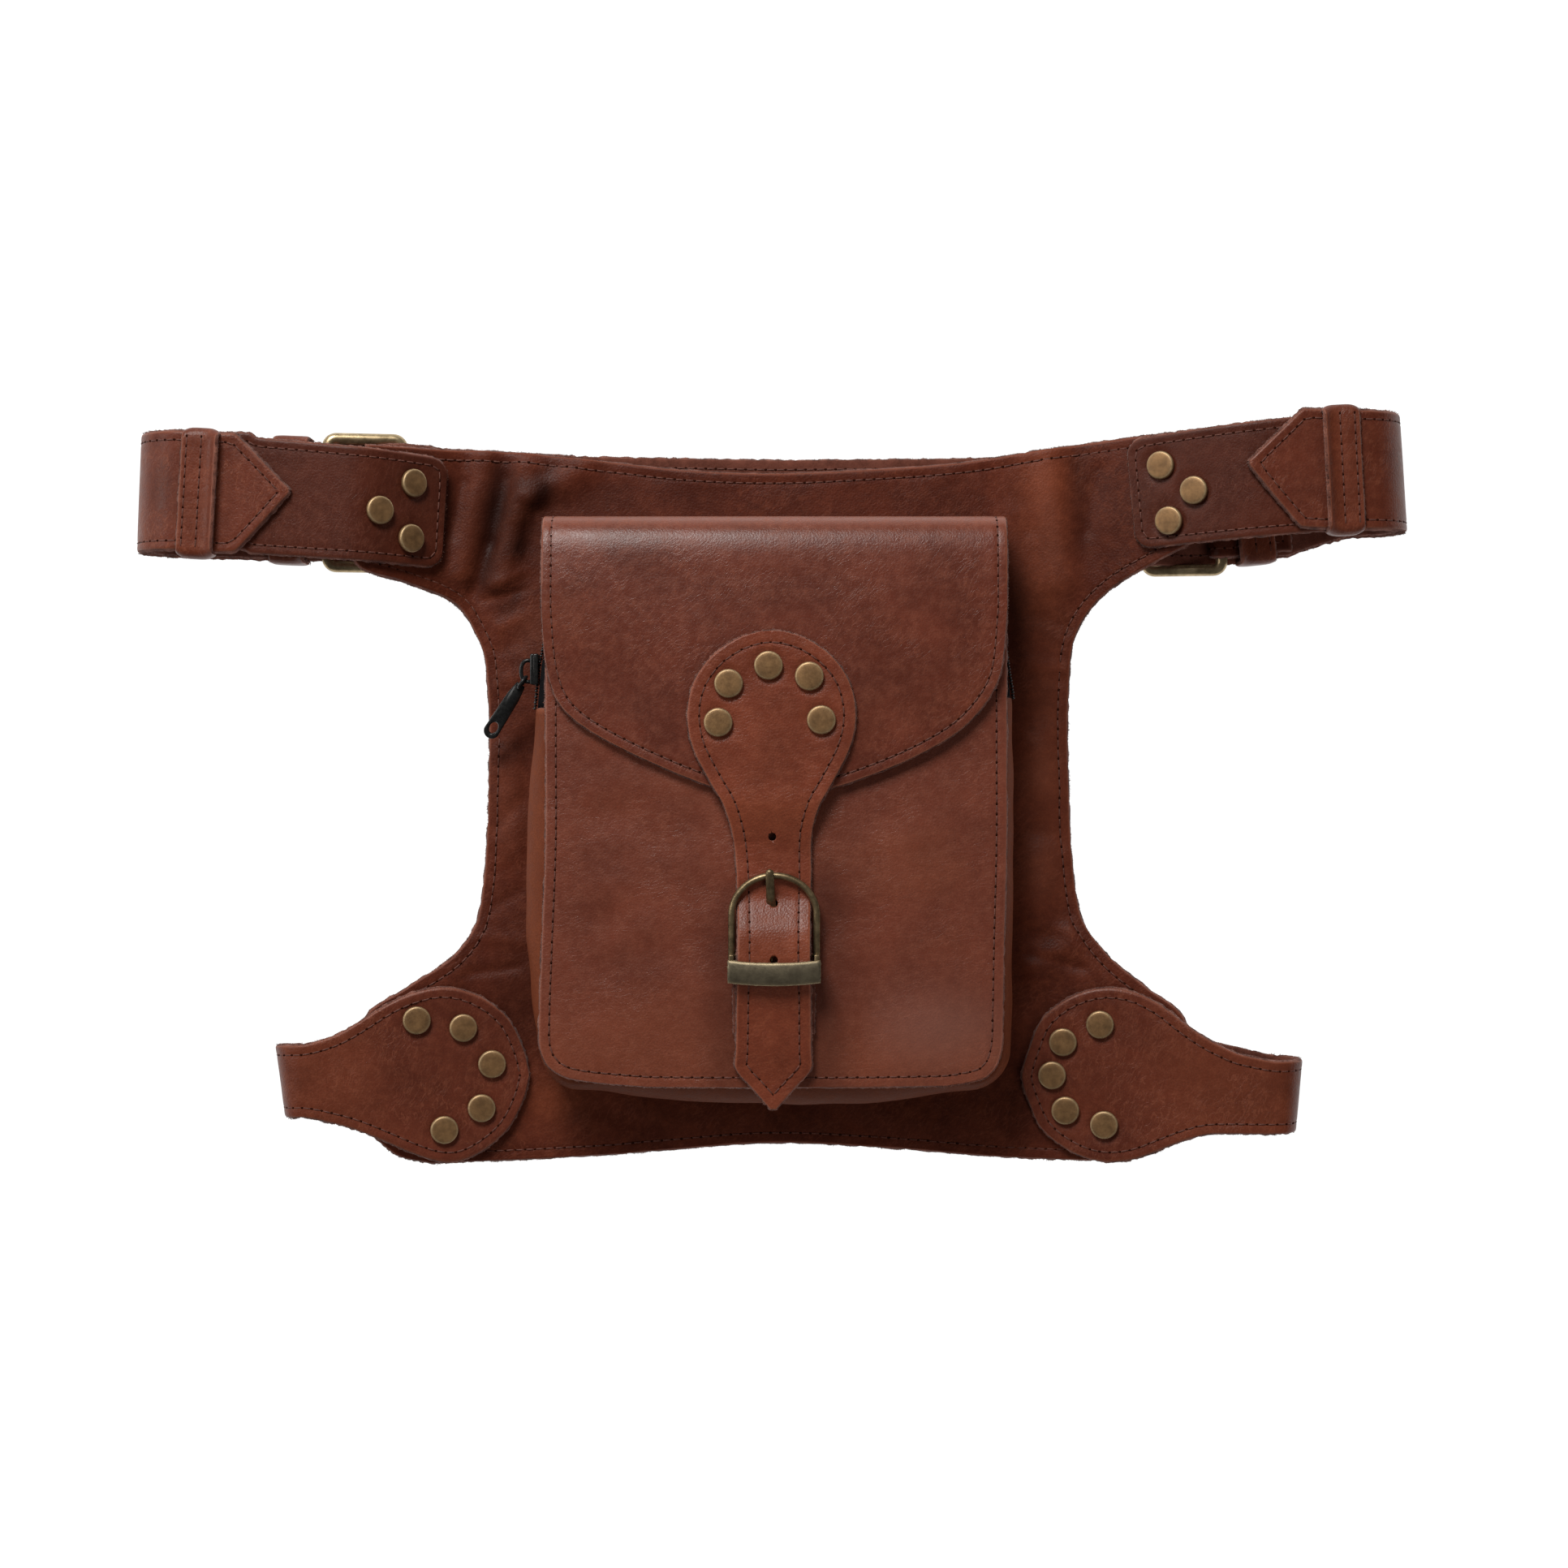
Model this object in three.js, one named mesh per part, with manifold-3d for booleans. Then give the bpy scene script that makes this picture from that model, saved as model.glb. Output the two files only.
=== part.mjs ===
// A leather belt bag with a thigh strap, lying on its back with the front up.
// Millimetres: X across the bag, Y up the bag, Z out of its front, the floor at Z = 0.
import * as THREE from 'three';
import { mergeVertices } from 'three/addons/utils/BufferGeometryUtils.js';
import Module from 'manifold-3d';

const wasm = await Module();
wasm.setup();

// Driving dimensions
const GAP = 0.35;
const STRAP_THICK = 2.4;
const PANEL_THICK = 2.4;
const WING_GAP = 0.95;
const LAYER = STRAP_THICK + GAP;
const WING_LAYER = STRAP_THICK + WING_GAP;
const PANEL_BASE = STRAP_THICK + GAP + PANEL_THICK / 2;
const BELT_WIDTH = 37.6;
const BUCKLE_STRAP_WIDTH = 37.2;
const RIVETED_END_WIDTH = 35.4;
const THIGH_WIDTH = 23.2;
const KEEPER_THICK = 1.5;
const KEEPER_WIDTH = 11.4;
const KEEPER_OPENING = 39.2;
const BELT_BAR_RADIUS = 1.7;
const BELT_BUCKLE_OPENING = 38.6;
const PRONG_RADIUS = 1.0;
const GUSSET_THICK = 1.6;
const TAPE_THICK = 1.0;
const FRONT_THICK = 1.8;
const FLAP_THICK = 2.0;
const TONGUE_THICK = 2.2;
const CHAPE_THICK = 1.4;
const TONGUE_WIRE_RADIUS = 1.1;
const POCKET = { left: -72.5, right: 74.5, bottom: -95.5, top: 80.5, lowCorner: 10, highCorner: 7 };
const GUSSET_FOOT = PANEL_BASE + PANEL_THICK / 2 + GAP + GUSSET_THICK / 2;
const GUSSET_HEAD = 36.2;
const FRONT_RIM = GUSSET_HEAD + GUSSET_THICK / 2 + GAP + FRONT_THICK / 2;
const FRONT_CROWN = 2.2;
const FLAP_STANDOFF = 1.5;
const RIVET = { capRadius: 4.6, capHeight: 1.5, postRadius: 1.5, backRadius: 3.5, backHeight: 0.8 };

// Plain helpers
const clamp = (value, low, high) => Math.min(high, Math.max(low, value));
const smooth = (value) => {
  const t = clamp(value, 0, 1);
  return t * t * (3 - 2 * t);
};
const mix = (a, b, t) => a + (b - a) * t;
const steps = (from, to, count) => Array.from({ length: count }, (_, i) => mix(from, to, i / (count - 1)));

// A smooth curve through the rows of a table, from its column `by` to its column `of`.
function curve(rows, by, of) {
  const sorted = [...rows].sort((a, b) => a[by] - b[by]);
  const slope = (i) => {
    const low = sorted[Math.max(i - 1, 0)];
    const high = sorted[Math.min(i + 1, sorted.length - 1)];
    return (high[of] - low[of]) / (high[by] - low[by]);
  };
  return (at) => {
    const last = sorted.length - 2;
    let i = 0;
    while (i < last && at > sorted[i + 1][by]) i += 1;
    const run = sorted[i + 1][by] - sorted[i][by];
    const t = clamp((at - sorted[i][by]) / run, 0, 1);
    const a = sorted[i][of];
    const b = sorted[i + 1][of];
    const bend = t * (1 - t) * ((1 - t) * (slope(i) * run - (b - a)) - t * (slope(i + 1) * run - (b - a)));
    return mix(a, b, t) + bend;
  };
}

// A table given as a line of column names and rows of numbers.
const table = (names, rows) => {
  const keys = names.split(' ');
  return rows.map((row) => Object.fromEntries(keys.map((key, i) => [key, row[i]])));
};

const group = new THREE.Group();
group.name = 'belt_bag';
const looks = {
  leather: { color: 0x5c3026, roughness: 0.5 },
  brass: { color: 0x6b5a38, roughness: 0.4, metalness: 0.9 },
  zip: { color: 0x141414, roughness: 0.6 },
};

function add(name, geometry, look) {
  const mesh = new THREE.Mesh(geometry, new THREE.MeshStandardMaterial(looks[look]));
  mesh.name = name;
  group.add(mesh);
  return mesh;
}

function geometryFrom(points, triangles) {
  const geometry = new THREE.BufferGeometry();
  const numbers = points.flatMap((p) => [p.x, p.y, p.z]);
  geometry.setAttribute('position', new THREE.Float32BufferAttribute(numbers, 3));
  geometry.setIndex(triangles);
  let volume = 0;
  for (let i = 0; i < triangles.length; i += 3) {
    const [a, b, c] = [points[triangles[i]], points[triangles[i + 1]], points[triangles[i + 2]]];
    volume += a.dot(b.clone().cross(c));
  }
  if (volume < 0) geometry.setIndex(triangles.map((_, i) => triangles[i - (i % 3) + 2 - (i % 3)]));
  return geometry;
}

// A leather wall: a grid of points on its middle surface, given a thickness along its normals.
function wall(grid, thickness, closed = false) {
  const rows = grid.length;
  const columns = grid[0].length;
  const pick = (i, j) => {
    const row = closed ? (i + rows) % rows : clamp(i, 0, rows - 1);
    return grid[row][clamp(j, 0, columns - 1)];
  };
  const points = [];
  grid.forEach((row, i) => row.forEach((point, j) => {
    const along = pick(i + 1, j).clone().sub(pick(i - 1, j));
    const across = pick(i, j + 1).clone().sub(pick(i, j - 1));
    const offset = along.cross(across).normalize().multiplyScalar(thickness / 2);
    points.push(point.clone().add(offset), point.clone().sub(offset));
  }));
  const triangles = [];
  const at = (i, j, side) => 2 * ((i % rows) * columns + j) + side;
  const quad = (a, b, c, d) => triangles.push(a, b, c, a, c, d);
  const cells = closed ? rows : rows - 1;
  for (let i = 0; i < cells; i += 1) {
    for (let j = 0; j < columns - 1; j += 1) {
      quad(at(i, j, 0), at(i + 1, j, 0), at(i + 1, j + 1, 0), at(i, j + 1, 0));
      quad(at(i, j, 1), at(i, j + 1, 1), at(i + 1, j + 1, 1), at(i + 1, j, 1));
    }
    quad(at(i, 0, 0), at(i, 0, 1), at(i + 1, 0, 1), at(i + 1, 0, 0));
    const j = columns - 1;
    quad(at(i, j, 0), at(i + 1, j, 0), at(i + 1, j, 1), at(i, j, 1));
  }
  if (!closed) {
    for (let j = 0; j < columns - 1; j += 1) {
      quad(at(0, j, 0), at(0, j + 1, 0), at(0, j + 1, 1), at(0, j, 1));
      const i = rows - 1;
      quad(at(i, j, 0), at(i, j, 1), at(i, j + 1, 1), at(i, j + 1, 0));
    }
  }
  return geometryFrom(points, triangles);
}

// A strap: rows of its centre line, each with a turn in plan and the reach of its two edges.
function strap(rows, thickness) {
  return wall(rows.map((row) => {
    const turn = THREE.MathUtils.degToRad(row.turn);
    const across = new THREE.Vector3(Math.sin(turn), Math.cos(turn), 0);
    const centre = new THREE.Vector3(row.x, row.y, row.z);
    return [row.up, -row.down].map((reach) => centre.clone().addScaledVector(across, reach));
  }), thickness);
}

// A round rod along points; `flat` is a direction square to the path.
function rod(path, radius, sides, flat, closed = false) {
  const count = path.length;
  const points = [];
  const triangles = [];
  path.forEach((point, i) => {
    const before = path[closed ? (i + count - 1) % count : Math.max(i - 1, 0)];
    const after = path[closed ? (i + 1) % count : Math.min(i + 1, count - 1)];
    const along = after.clone().sub(before).normalize();
    const side = flat.clone().cross(along).normalize();
    const lift = along.clone().cross(side);
    for (let k = 0; k < sides; k += 1) {
      const angle = (2 * Math.PI * (k + 0.5)) / sides;
      const out = side.clone().multiplyScalar(Math.cos(angle)).addScaledVector(lift, Math.sin(angle));
      points.push(point.clone().addScaledVector(out, radius));
    }
  });
  const at = (i, k) => (i % count) * sides + (k % sides);
  for (let i = 0; i < (closed ? count : count - 1); i += 1) {
    for (let k = 0; k < sides; k += 1) {
      triangles.push(at(i, k), at(i + 1, k), at(i + 1, k + 1), at(i, k), at(i + 1, k + 1), at(i, k + 1));
    }
  }
  if (!closed) {
    for (let k = 1; k < sides - 1; k += 1) {
      triangles.push(at(0, 0), at(0, k), at(0, k + 1));
      triangles.push(at(count - 1, 0), at(count - 1, k + 1), at(count - 1, k));
    }
  }
  return geometryFrom(points, triangles);
}

// Joining and cutting
function solid(geometry) {
  const bare = geometry.clone();
  bare.deleteAttribute('normal');
  bare.deleteAttribute('uv');
  const merged = mergeVertices(bare, 1e-4);
  const vertProperties = new Float32Array(merged.attributes.position.array);
  return new wasm.Manifold(new wasm.Mesh({
    numProp: 3,
    vertProperties,
    triVerts: new Uint32Array(merged.index.array),
  }));
}
function shell(made) {
  const mesh = made.getMesh();
  const geometry = new THREE.BufferGeometry();
  geometry.setAttribute('position', new THREE.BufferAttribute(new Float32Array(mesh.vertProperties), 3));
  geometry.setIndex(new THREE.BufferAttribute(new Uint32Array(mesh.triVerts), 1));
  return geometry;
}
const join = (...pieces) => shell(pieces.map(solid).reduce((a, b) => a.add(b)));
const cut = (piece, ...tools) => shell(tools.map(solid).reduce((a, b) => a.subtract(b), solid(piece)));
const vector = (x, y, z) => new THREE.Vector3(x, y, z);
const acrossY = vector(0, 1, 0);
const upZ = vector(0, 0, 1);
const block = (x0, x1, y0, y1, z0, z1) => {
  const geometry = new THREE.BoxGeometry(x1 - x0, y1 - y0, z1 - z0);
  return geometry.translate((x0 + x1) / 2, (y0 + y1) / 2, (z0 + z1) / 2);
};

// Shape of the back panel
const WINGS = {
  upperLeft: { from: 96, run: 42, rise: 22 },
  upperRight: { from: 96, run: 68, rise: 22 },
  lowerLeft: { from: 71, run: 79, rise: 10.1 },
  lowerRight: { from: 70, run: 90, rise: 10.1 },
};
const wingHeight = (wing, x) => PANEL_BASE + wing.rise * smooth((Math.abs(x) - wing.from) / wing.run);
const FOLDS = table('x0 y0 x1 y1 width height', [
  [-95, 108, -102, 70, 4.6, 3.2],
  [-82, 107, -94, 66, 4.8, 3.4],
  [-62, 105, -79, 93, 5.0, 2.4],
  [92, 108, 96, 68, 6.5, 2.4],
  [-88, 8, -86, -20, 6.0, 1.8],
  [89, 14, 90, 0, 6.0, 2.0],
  [89, -24, 88, -40, 6.0, 2.0],
  [-60, -112, -50, -118, 5.0, 1.4],
  [86, -60, 98, -52, 5.0, 1.8],
]);

function foldHeight(x, y) {
  const outside = Math.max(Math.abs(x - 1) - 78, y - 88, -100 - y);
  const sum = FOLDS.reduce((total, fold) => {
    const run = vector(fold.x1 - fold.x0, fold.y1 - fold.y0, 0);
    const from = vector(x - fold.x0, y - fold.y0, 0);
    const t = clamp(from.dot(run) / run.lengthSq(), 0, 1);
    const away = from.addScaledVector(run, -t).length() / fold.width;
    return total + fold.height * Math.exp(-away * away);
  }, 0);
  return sum * smooth(outside / 8);
}

function panelHeight(x, y) {
  const upper = smooth((y - 25) / 40);
  const lower = smooth((-y - 25) / 40);
  const upperWing = wingHeight(x < 0 ? WINGS.upperLeft : WINGS.upperRight, x) - PANEL_BASE;
  const lowerWing = wingHeight(x < 0 ? WINGS.lowerLeft : WINGS.lowerRight, x) - PANEL_BASE;
  return PANEL_BASE + upper * upperWing + lower * lowerWing + foldHeight(x, y);
}

const PANEL_ROWS = table('leftX leftY rightX rightY top bottom', [
  [-112, -124.0, 116, -123.4, 0, 1],
  [-124, -120.4, 127, -119.0, 0, 0.8],
  [-134.5, -107, 138, -107, 0, 0.5],
  [-133.5, -77, 135, -77, 0, 0],
  [-119.5, -66.4, 122.5, -66.4, 0, 0],
  [-104, -55.7, 110, -55.7, 0, 0],
  [-96.4, -42, 101.2, -42, 0, 0],
  [-93.2, 5, 97.4, 5, 0, 0],
  [-94.4, 40.5, 98.2, 40.5, 0, 0],
  [-98.2, 51.2, 100.6, 51.2, 0, 0],
  [-104.8, 60.3, 106.5, 60.3, 0, 0],
  [-119, 66.2, 115.4, 67.6, 0.1, 0],
  [-134.0, 71.4, 127.4, 74.4, 0.3, 0],
  [-133.2, 84.5, 139.4, 82.5, 0.5, 0],
  [-132.2, 98, 140.6, 100, 0.8, 0],
  [-131.2, 110.0, 140.8, 115.6, 1, 0],
]);
const TOP_EDGE = table('x y', [
  [-132, 110.2], [-92, 110.0], [-56, 106.9], [-28, 103.9], [0, 102.9],
  [28, 103.9], [62, 106.3], [90, 110.6], [118, 114.0], [141, 115.6],
]);
const BOTTOM_EDGE = table('x y', [
  [-112, -124.0], [-75, -123.0], [-40, -120.6], [0, -117.8], [40, -119.6], [75, -122.4], [116, -123.4],
]);
const topEdge = curve(TOP_EDGE, 'x', 'y');
const bottomEdge = curve(BOTTOM_EDGE, 'x', 'y');
const PANEL_SHARES = [
  0, 0.022, 0.044, 0.066, 0.09, 0.113, 0.132, 0.15, 0.168, 0.19, 0.22,
  0.34, 0.48, 0.62, 0.757, 0.8, 0.836, 0.87, 0.905, 0.94, 0.97, 1,
];
const panelGrid = PANEL_ROWS.map((row) => PANEL_SHARES.map((t) => {
  const x = mix(row.leftX, row.rightX, t);
  const level = mix(row.leftY, row.rightY, t);
  const topBow = topEdge(x) - mix(topEdge(row.leftX), topEdge(row.rightX), t);
  const bottomBow = bottomEdge(x) - mix(bottomEdge(row.leftX), bottomEdge(row.rightX), t);
  const y = level + row.top * topBow + row.bottom * bottomBow;
  return vector(x, y, panelHeight(x, y));
}));
let panel = wall(panelGrid, PANEL_THICK);

// Belt strap and buckle straps
const SIDES = {
  left: {
    sign: -1, wing: WINGS.upperLeft, fold: 206.2, heel: 146.1, far: 122.2, keeper: 158.4, frontKeeper: 184.1,
    frontY: 93.8, foldY: 94.8, rearY: 93.6, buckleY: 93.0, middleY: 92.0,
    foldTurn: 2.8, rearTurn: 2.0, frontTurn: 0, keeperTurn: 3.2,
    tip: 155.3, tipY: 94.4, shoulder: 172.3, riveted: 109.6, rivetedY: 88.9, strapY: 92.0, strapTurn: 3.4,
  },
  right: {
    sign: 1, wing: WINGS.upperRight, fold: 205.7, heel: 147.8, far: 123.6, keeper: 160.0, frontKeeper: 183.3,
    frontY: 101.3, foldY: 101.4, rearY: 92.4, buckleY: 91.8, middleY: 90.0,
    foldTurn: -4.2, rearTurn: -7.0, frontTurn: 1.0, keeperTurn: -3.0,
    tip: 153.5, tipY: 103.6, shoulder: 170.2, riveted: 119.3, rivetedY: 95.2, strapY: 99.2, strapTurn: -5.4,
  },
};
const FRONT_LEVEL = PANEL_BASE + WINGS.upperLeft.rise + WING_LAYER + LAYER;
const FOLD_RADIUS = (FRONT_LEVEL - STRAP_THICK / 2) / 2;
const FOLD_LEVEL = STRAP_THICK / 2 + FOLD_RADIUS;
const FOLD_STEPS = 11;
const REAR_LEVEL = KEEPER_THICK + GAP + STRAP_THICK / 2;
const RETURN_LEVEL = REAR_LEVEL + 2 * LAYER + 0.2;
const HEEL_LEVEL = REAR_LEVEL + LAYER + STRAP_THICK / 2 + 0.3 + BELT_BAR_RADIUS;
const FAR_LEVEL = 2 * PRONG_RADIUS + 2 * GAP + BELT_BAR_RADIUS;
const OVER_FAR = FAR_LEVEL + BELT_BAR_RADIUS + GAP + STRAP_THICK / 2;
const HALF_BELT = BELT_WIDTH / 2;
const foldAxis = (side) => side.fold - FOLD_RADIUS - STRAP_THICK / 2;

// The half of the belt on one side, from its pointed tip to the middle of the back.
function beltHalf(side) {
  const rows = [];
  const put = (out, y, z, turn, half) => rows.push({ x: side.sign * out, y, z, turn, up: half, down: half });
  const axis = foldAxis(side);
  put(side.tip, side.tipY, FRONT_LEVEL, side.frontTurn, 0.6);
  const half = mix(side.tip, side.shoulder, 0.5);
  put(half, mix(side.tipY, side.frontY, 0.4), FRONT_LEVEL, side.frontTurn, HALF_BELT * 0.62);
  put(side.shoulder, mix(side.tipY, side.frontY, 0.7), FRONT_LEVEL, side.frontTurn, HALF_BELT);
  put(axis - 6, side.frontY, FRONT_LEVEL, mix(side.frontTurn, side.foldTurn, 0.5), HALF_BELT);
  steps(0, 1, FOLD_STEPS).forEach((t) => {
    const angle = Math.PI * (0.5 - t);
    const turn = mix(mix(side.frontTurn, side.foldTurn, 0.7), mix(side.foldTurn, side.rearTurn, 0.3), t);
    const out = axis + FOLD_RADIUS * Math.cos(angle);
    put(out, side.foldY, FOLD_LEVEL + FOLD_RADIUS * Math.sin(angle), turn, HALF_BELT);
  });
  const rearTurn = mix(side.foldTurn, side.rearTurn, 0.5);
  const rear = (out, z, t) => put(out, mix(side.foldY, side.rearY, t), z, rearTurn, HALF_BELT);
  rear(side.keeper + 15, STRAP_THICK / 2, 0.45);
  rear(side.keeper + 8, REAR_LEVEL, 0.75);
  rear(side.heel + 3, REAR_LEVEL, 1);
  const through = (out, z, y) => put(out, y, z, side.rearTurn * 0.4, HALF_BELT);
  through(side.heel - 3, REAR_LEVEL, mix(side.rearY, side.buckleY, 0.4));
  through(mix(side.heel, side.far, 0.5), mix(REAR_LEVEL, OVER_FAR, 0.45), side.buckleY);
  through(side.far + 2, OVER_FAR, side.buckleY);
  through(side.far - 2, OVER_FAR, side.buckleY);
  through(side.far - 14, STRAP_THICK / 2, side.middleY);
  through(60, STRAP_THICK / 2, mix(side.middleY, 88.2, 0.7));
  return rows;
}
const beltRows = [
  ...beltHalf(SIDES.left),
  { x: 0, y: 88.2, z: STRAP_THICK / 2, turn: 0, up: HALF_BELT, down: HALF_BELT },
  ...beltHalf(SIDES.right).reverse(),
];
let belt = strap(beltRows, STRAP_THICK);

// A strap's place over a wing: the wing's own curve, one layer out along its normal.
function overWing(wing, x, away) {
  const rise = (wingHeight(wing, x + 0.1) - wingHeight(wing, x - 0.1)) / 0.2;
  const normal = vector(-rise, 0, 1).normalize();
  return { place: vector(x, 0, wingHeight(wing, x)).addScaledVector(normal, away), normal };
}

// The buckle strap of one side: riveted end, fold inside the belt, wrap round the heel bar of the buckle.
function buckleStrapRows(side) {
  const rows = [];
  const half = BUCKLE_STRAP_WIDTH / 2;
  const put = (x, y, z, turn, reach) => rows.push({ x, y, z, turn, up: reach, down: reach });
  const axis = foldAxis(side);
  const level = side.wing.from + side.wing.run;
  const corner = table('along reach', [[0, 0.86], [1.2, 0.94], [3.5, 1]]);
  const flat = (out) => clamp((out - side.riveted) / (axis - 4 - side.riveted), 0, 1);
  const onWing = (out, reach) => {
    const { place } = overWing(side.wing, side.sign * out, WING_LAYER);
    const t = flat(out);
    const width = mix(RIVETED_END_WIDTH / 2, half, t) * reach;
    put(place.x, mix(side.rivetedY, side.foldY, t), place.z, mix(side.strapTurn, side.foldTurn, t), width);
  };
  corner.forEach(({ along, reach }) => onWing(side.riveted + along, reach));
  steps(side.riveted + 9, level, 6).forEach((out) => onWing(out, 1));
  onWing(mix(level, axis, 0.5), 1);
  steps(0, 1, FOLD_STEPS).forEach((t) => {
    const angle = Math.PI * (0.5 - t);
    const out = axis + (FOLD_RADIUS - LAYER) * Math.cos(angle);
    const z = FOLD_LEVEL + (FOLD_RADIUS - LAYER) * Math.sin(angle);
    put(side.sign * out, side.foldY, z, mix(side.foldTurn, mix(side.foldTurn, side.rearTurn, 0.3), t), half);
  });
  const narrow = BUCKLE_STRAP_WIDTH / 2 - 1.2;
  const rear = (out, z, t, turn, reach = half) => {
    put(side.sign * out, mix(side.foldY, side.rearY, t), z, turn, reach);
  };
  const turnBack = mix(side.foldTurn, side.rearTurn, 0.5);
  rear(side.keeper + 15, STRAP_THICK / 2 + LAYER, 0.45, turnBack);
  rear(side.keeper + 8, REAR_LEVEL + LAYER, 0.75, turnBack);
  rear(side.heel + 5, REAR_LEVEL + LAYER, 0.95, 0, narrow);
  const wrap = BELT_BAR_RADIUS + 0.3 + STRAP_THICK / 2;
  steps(0, 1, 7).forEach((t) => {
    const angle = Math.PI * (-0.5 - t);
    rear(side.heel + wrap * Math.cos(angle), HEEL_LEVEL + wrap * Math.sin(angle), 1, 0, narrow);
  });
  rear(side.heel + 2, HEEL_LEVEL + wrap - 0.6, 1, 0, narrow);
  rear(side.heel + 4.4, RETURN_LEVEL + 1.3, 0.95, 0, narrow);
  rear(side.heel + 9, RETURN_LEVEL, 0.8, 0, narrow);
  rear(side.keeper + 9, RETURN_LEVEL, 0.75, turnBack, narrow);
  return rows;
}
const buckleStraps = {
  left: strap(buckleStrapRows(SIDES.left), STRAP_THICK),
  right: strap(buckleStrapRows(SIDES.right), STRAP_THICK),
};

// The rectangular frame of a belt buckle, tipped up at its heel bar.
function beltBuckle(side) {
  const halfHeight = BELT_BUCKLE_OPENING / 2 + BELT_BAR_RADIUS;
  const round = 2.8;
  const lift = (out) => mix(FAR_LEVEL, HEEL_LEVEL, (out - side.far) / (side.heel - side.far));
  const corners = [
    { out: side.heel, y: halfHeight, start: 0 },
    { out: side.far, y: halfHeight, start: 90 },
    { out: side.far, y: -halfHeight, start: 180 },
    { out: side.heel, y: -halfHeight, start: 270 },
  ];
  const path = corners.flatMap((corner) => steps(corner.start, corner.start + 90, 4).map((degrees) => {
    const angle = THREE.MathUtils.degToRad(degrees);
    const inward = Math.sign(corner.out - (side.heel + side.far) / 2);
    const out = corner.out - round * inward + round * Math.cos(angle);
    const y = corner.y - round * Math.sign(corner.y) + round * Math.sin(angle);
    return vector(side.sign * out, side.buckleY + y, lift(out));
  }));
  return rod(path, BELT_BAR_RADIUS, 8, upZ, true);
}

// The prong of a belt buckle: a ring round the heel bar and a shank that passes down through the belt.
const RING_STEPS = 10;
const ringAngles = steps(0, 2 * Math.PI * (1 - 1 / RING_STEPS), RING_STEPS);
const BELT_RING = BELT_BAR_RADIUS + 0.3 + PRONG_RADIUS;
function beltShank(side, radius) {
  const at = (out, z) => vector(side.sign * out, side.buckleY, z);
  return rod([
    at(side.heel - 1, HEEL_LEVEL - BELT_RING),
    at(mix(side.heel, side.far, 0.35), mix(HEEL_LEVEL - BELT_RING, PRONG_RADIUS, 0.4)),
    at(side.far + 3, PRONG_RADIUS + 0.3),
    at(side.far - 2.6, PRONG_RADIUS + 0.3),
  ], radius, 6, acrossY);
}
function beltProng(side) {
  const ring = ringAngles.map((angle) => vector(
    side.sign * side.heel + BELT_RING * Math.cos(angle),
    side.buckleY,
    HEEL_LEVEL + BELT_RING * Math.sin(angle),
  ));
  return join(rod(ring, PRONG_RADIUS, 6, acrossY, true), beltShank(side, PRONG_RADIUS));
}
function beltSlot(side) {
  const reach = BELT_RING + PRONG_RADIUS + 0.8;
  const half = PRONG_RADIUS + GAP + 0.2;
  const x = side.sign * side.heel;
  return block(x - reach, x + reach, side.buckleY - half, side.buckleY + half,
    HEEL_LEVEL - 4.6, HEEL_LEVEL + 6);
}

// A leather keeper round a stack of straps, from the floor of the stack to its head.
function keeper(x, y, low, high, turn) {
  const halfY = KEEPER_OPENING / 2 + KEEPER_THICK / 2;
  const z0 = low - KEEPER_THICK / 2;
  const z1 = high + KEEPER_THICK / 2;
  const round = 1.2;
  const loop = [
    [halfY, z0 + round], [halfY, z1 - round], [halfY - round, z1],
    [0, z1], [round - halfY, z1], [-halfY, z1 - round],
    [-halfY, z0 + round], [round - halfY, z0], [0, z0], [halfY - round, z0],
  ];
  const angle = THREE.MathUtils.degToRad(turn);
  const across = vector(Math.sin(angle), Math.cos(angle), 0);
  const along = vector(Math.cos(angle), -Math.sin(angle), 0).multiplyScalar(KEEPER_WIDTH / 2);
  return wall(loop.map(([reach, z]) => {
    const middle = vector(x, y, z).addScaledVector(across, reach);
    return [middle.clone().add(along), middle.clone().sub(along)];
  }), KEEPER_THICK, true);
}

// Thigh strap: both paddles, both folds and the plain stretch behind the panel.
const LEFT_PADDLE = table('x top bottom', [
  [-80.7, -92.5, -98], [-82.3, -85.5, -104.4], [-87.3, -77, -112.6], [-95.1, -70.4, -119.4],
  [-102.8, -67.2, -123], [-109.9, -66.4, -123], [-119, -68.4, -119.8], [-126.7, -72, -116.2],
  [-134.4, -77, -112.8], [-140.8, -80.9, -110.6], [-147, -83.4, -109],
]);
const RIGHT_PADDLE = table('x top bottom', [
  [82.9, -93, -98.6], [85, -85.8, -105.2], [89, -77.5, -112.6], [96.5, -70.9, -118.8],
  [104.7, -67.4, -122.4], [112.2, -66.6, -123.2], [120.1, -68.2, -121.8], [128.4, -72.6, -118.4],
  [135.3, -78.1, -115.6], [142.8, -83.2, -113.6], [152, -87.8, -113.4],
]);
const THIGH_SIDES = {
  left: {
    sign: -1, wing: WINGS.lowerLeft, paddle: LEFT_PADDLE,
    fold: 161.6, foldY: -96.4, foldTurn: -9, rearTurn: -12,
  },
  right: {
    sign: 1, wing: WINGS.lowerRight, paddle: RIGHT_PADDLE,
    fold: 173.2, foldY: -101.9, foldTurn: 6, rearTurn: 10,
  },
};
const THIGH_FRONT = PANEL_BASE + WINGS.lowerLeft.rise + WING_LAYER;
const THIGH_RADIUS = (THIGH_FRONT - STRAP_THICK / 2) / 2;
const THIGH_LEVEL = STRAP_THICK / 2 + THIGH_RADIUS;
const THIGH_REAR = table('x y', [
  [-153, -97.6], [-120, -90.4], [-70, -83], [0, -79.6], [70, -83.6], [120, -91.6], [165, -101.5],
]);
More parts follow.
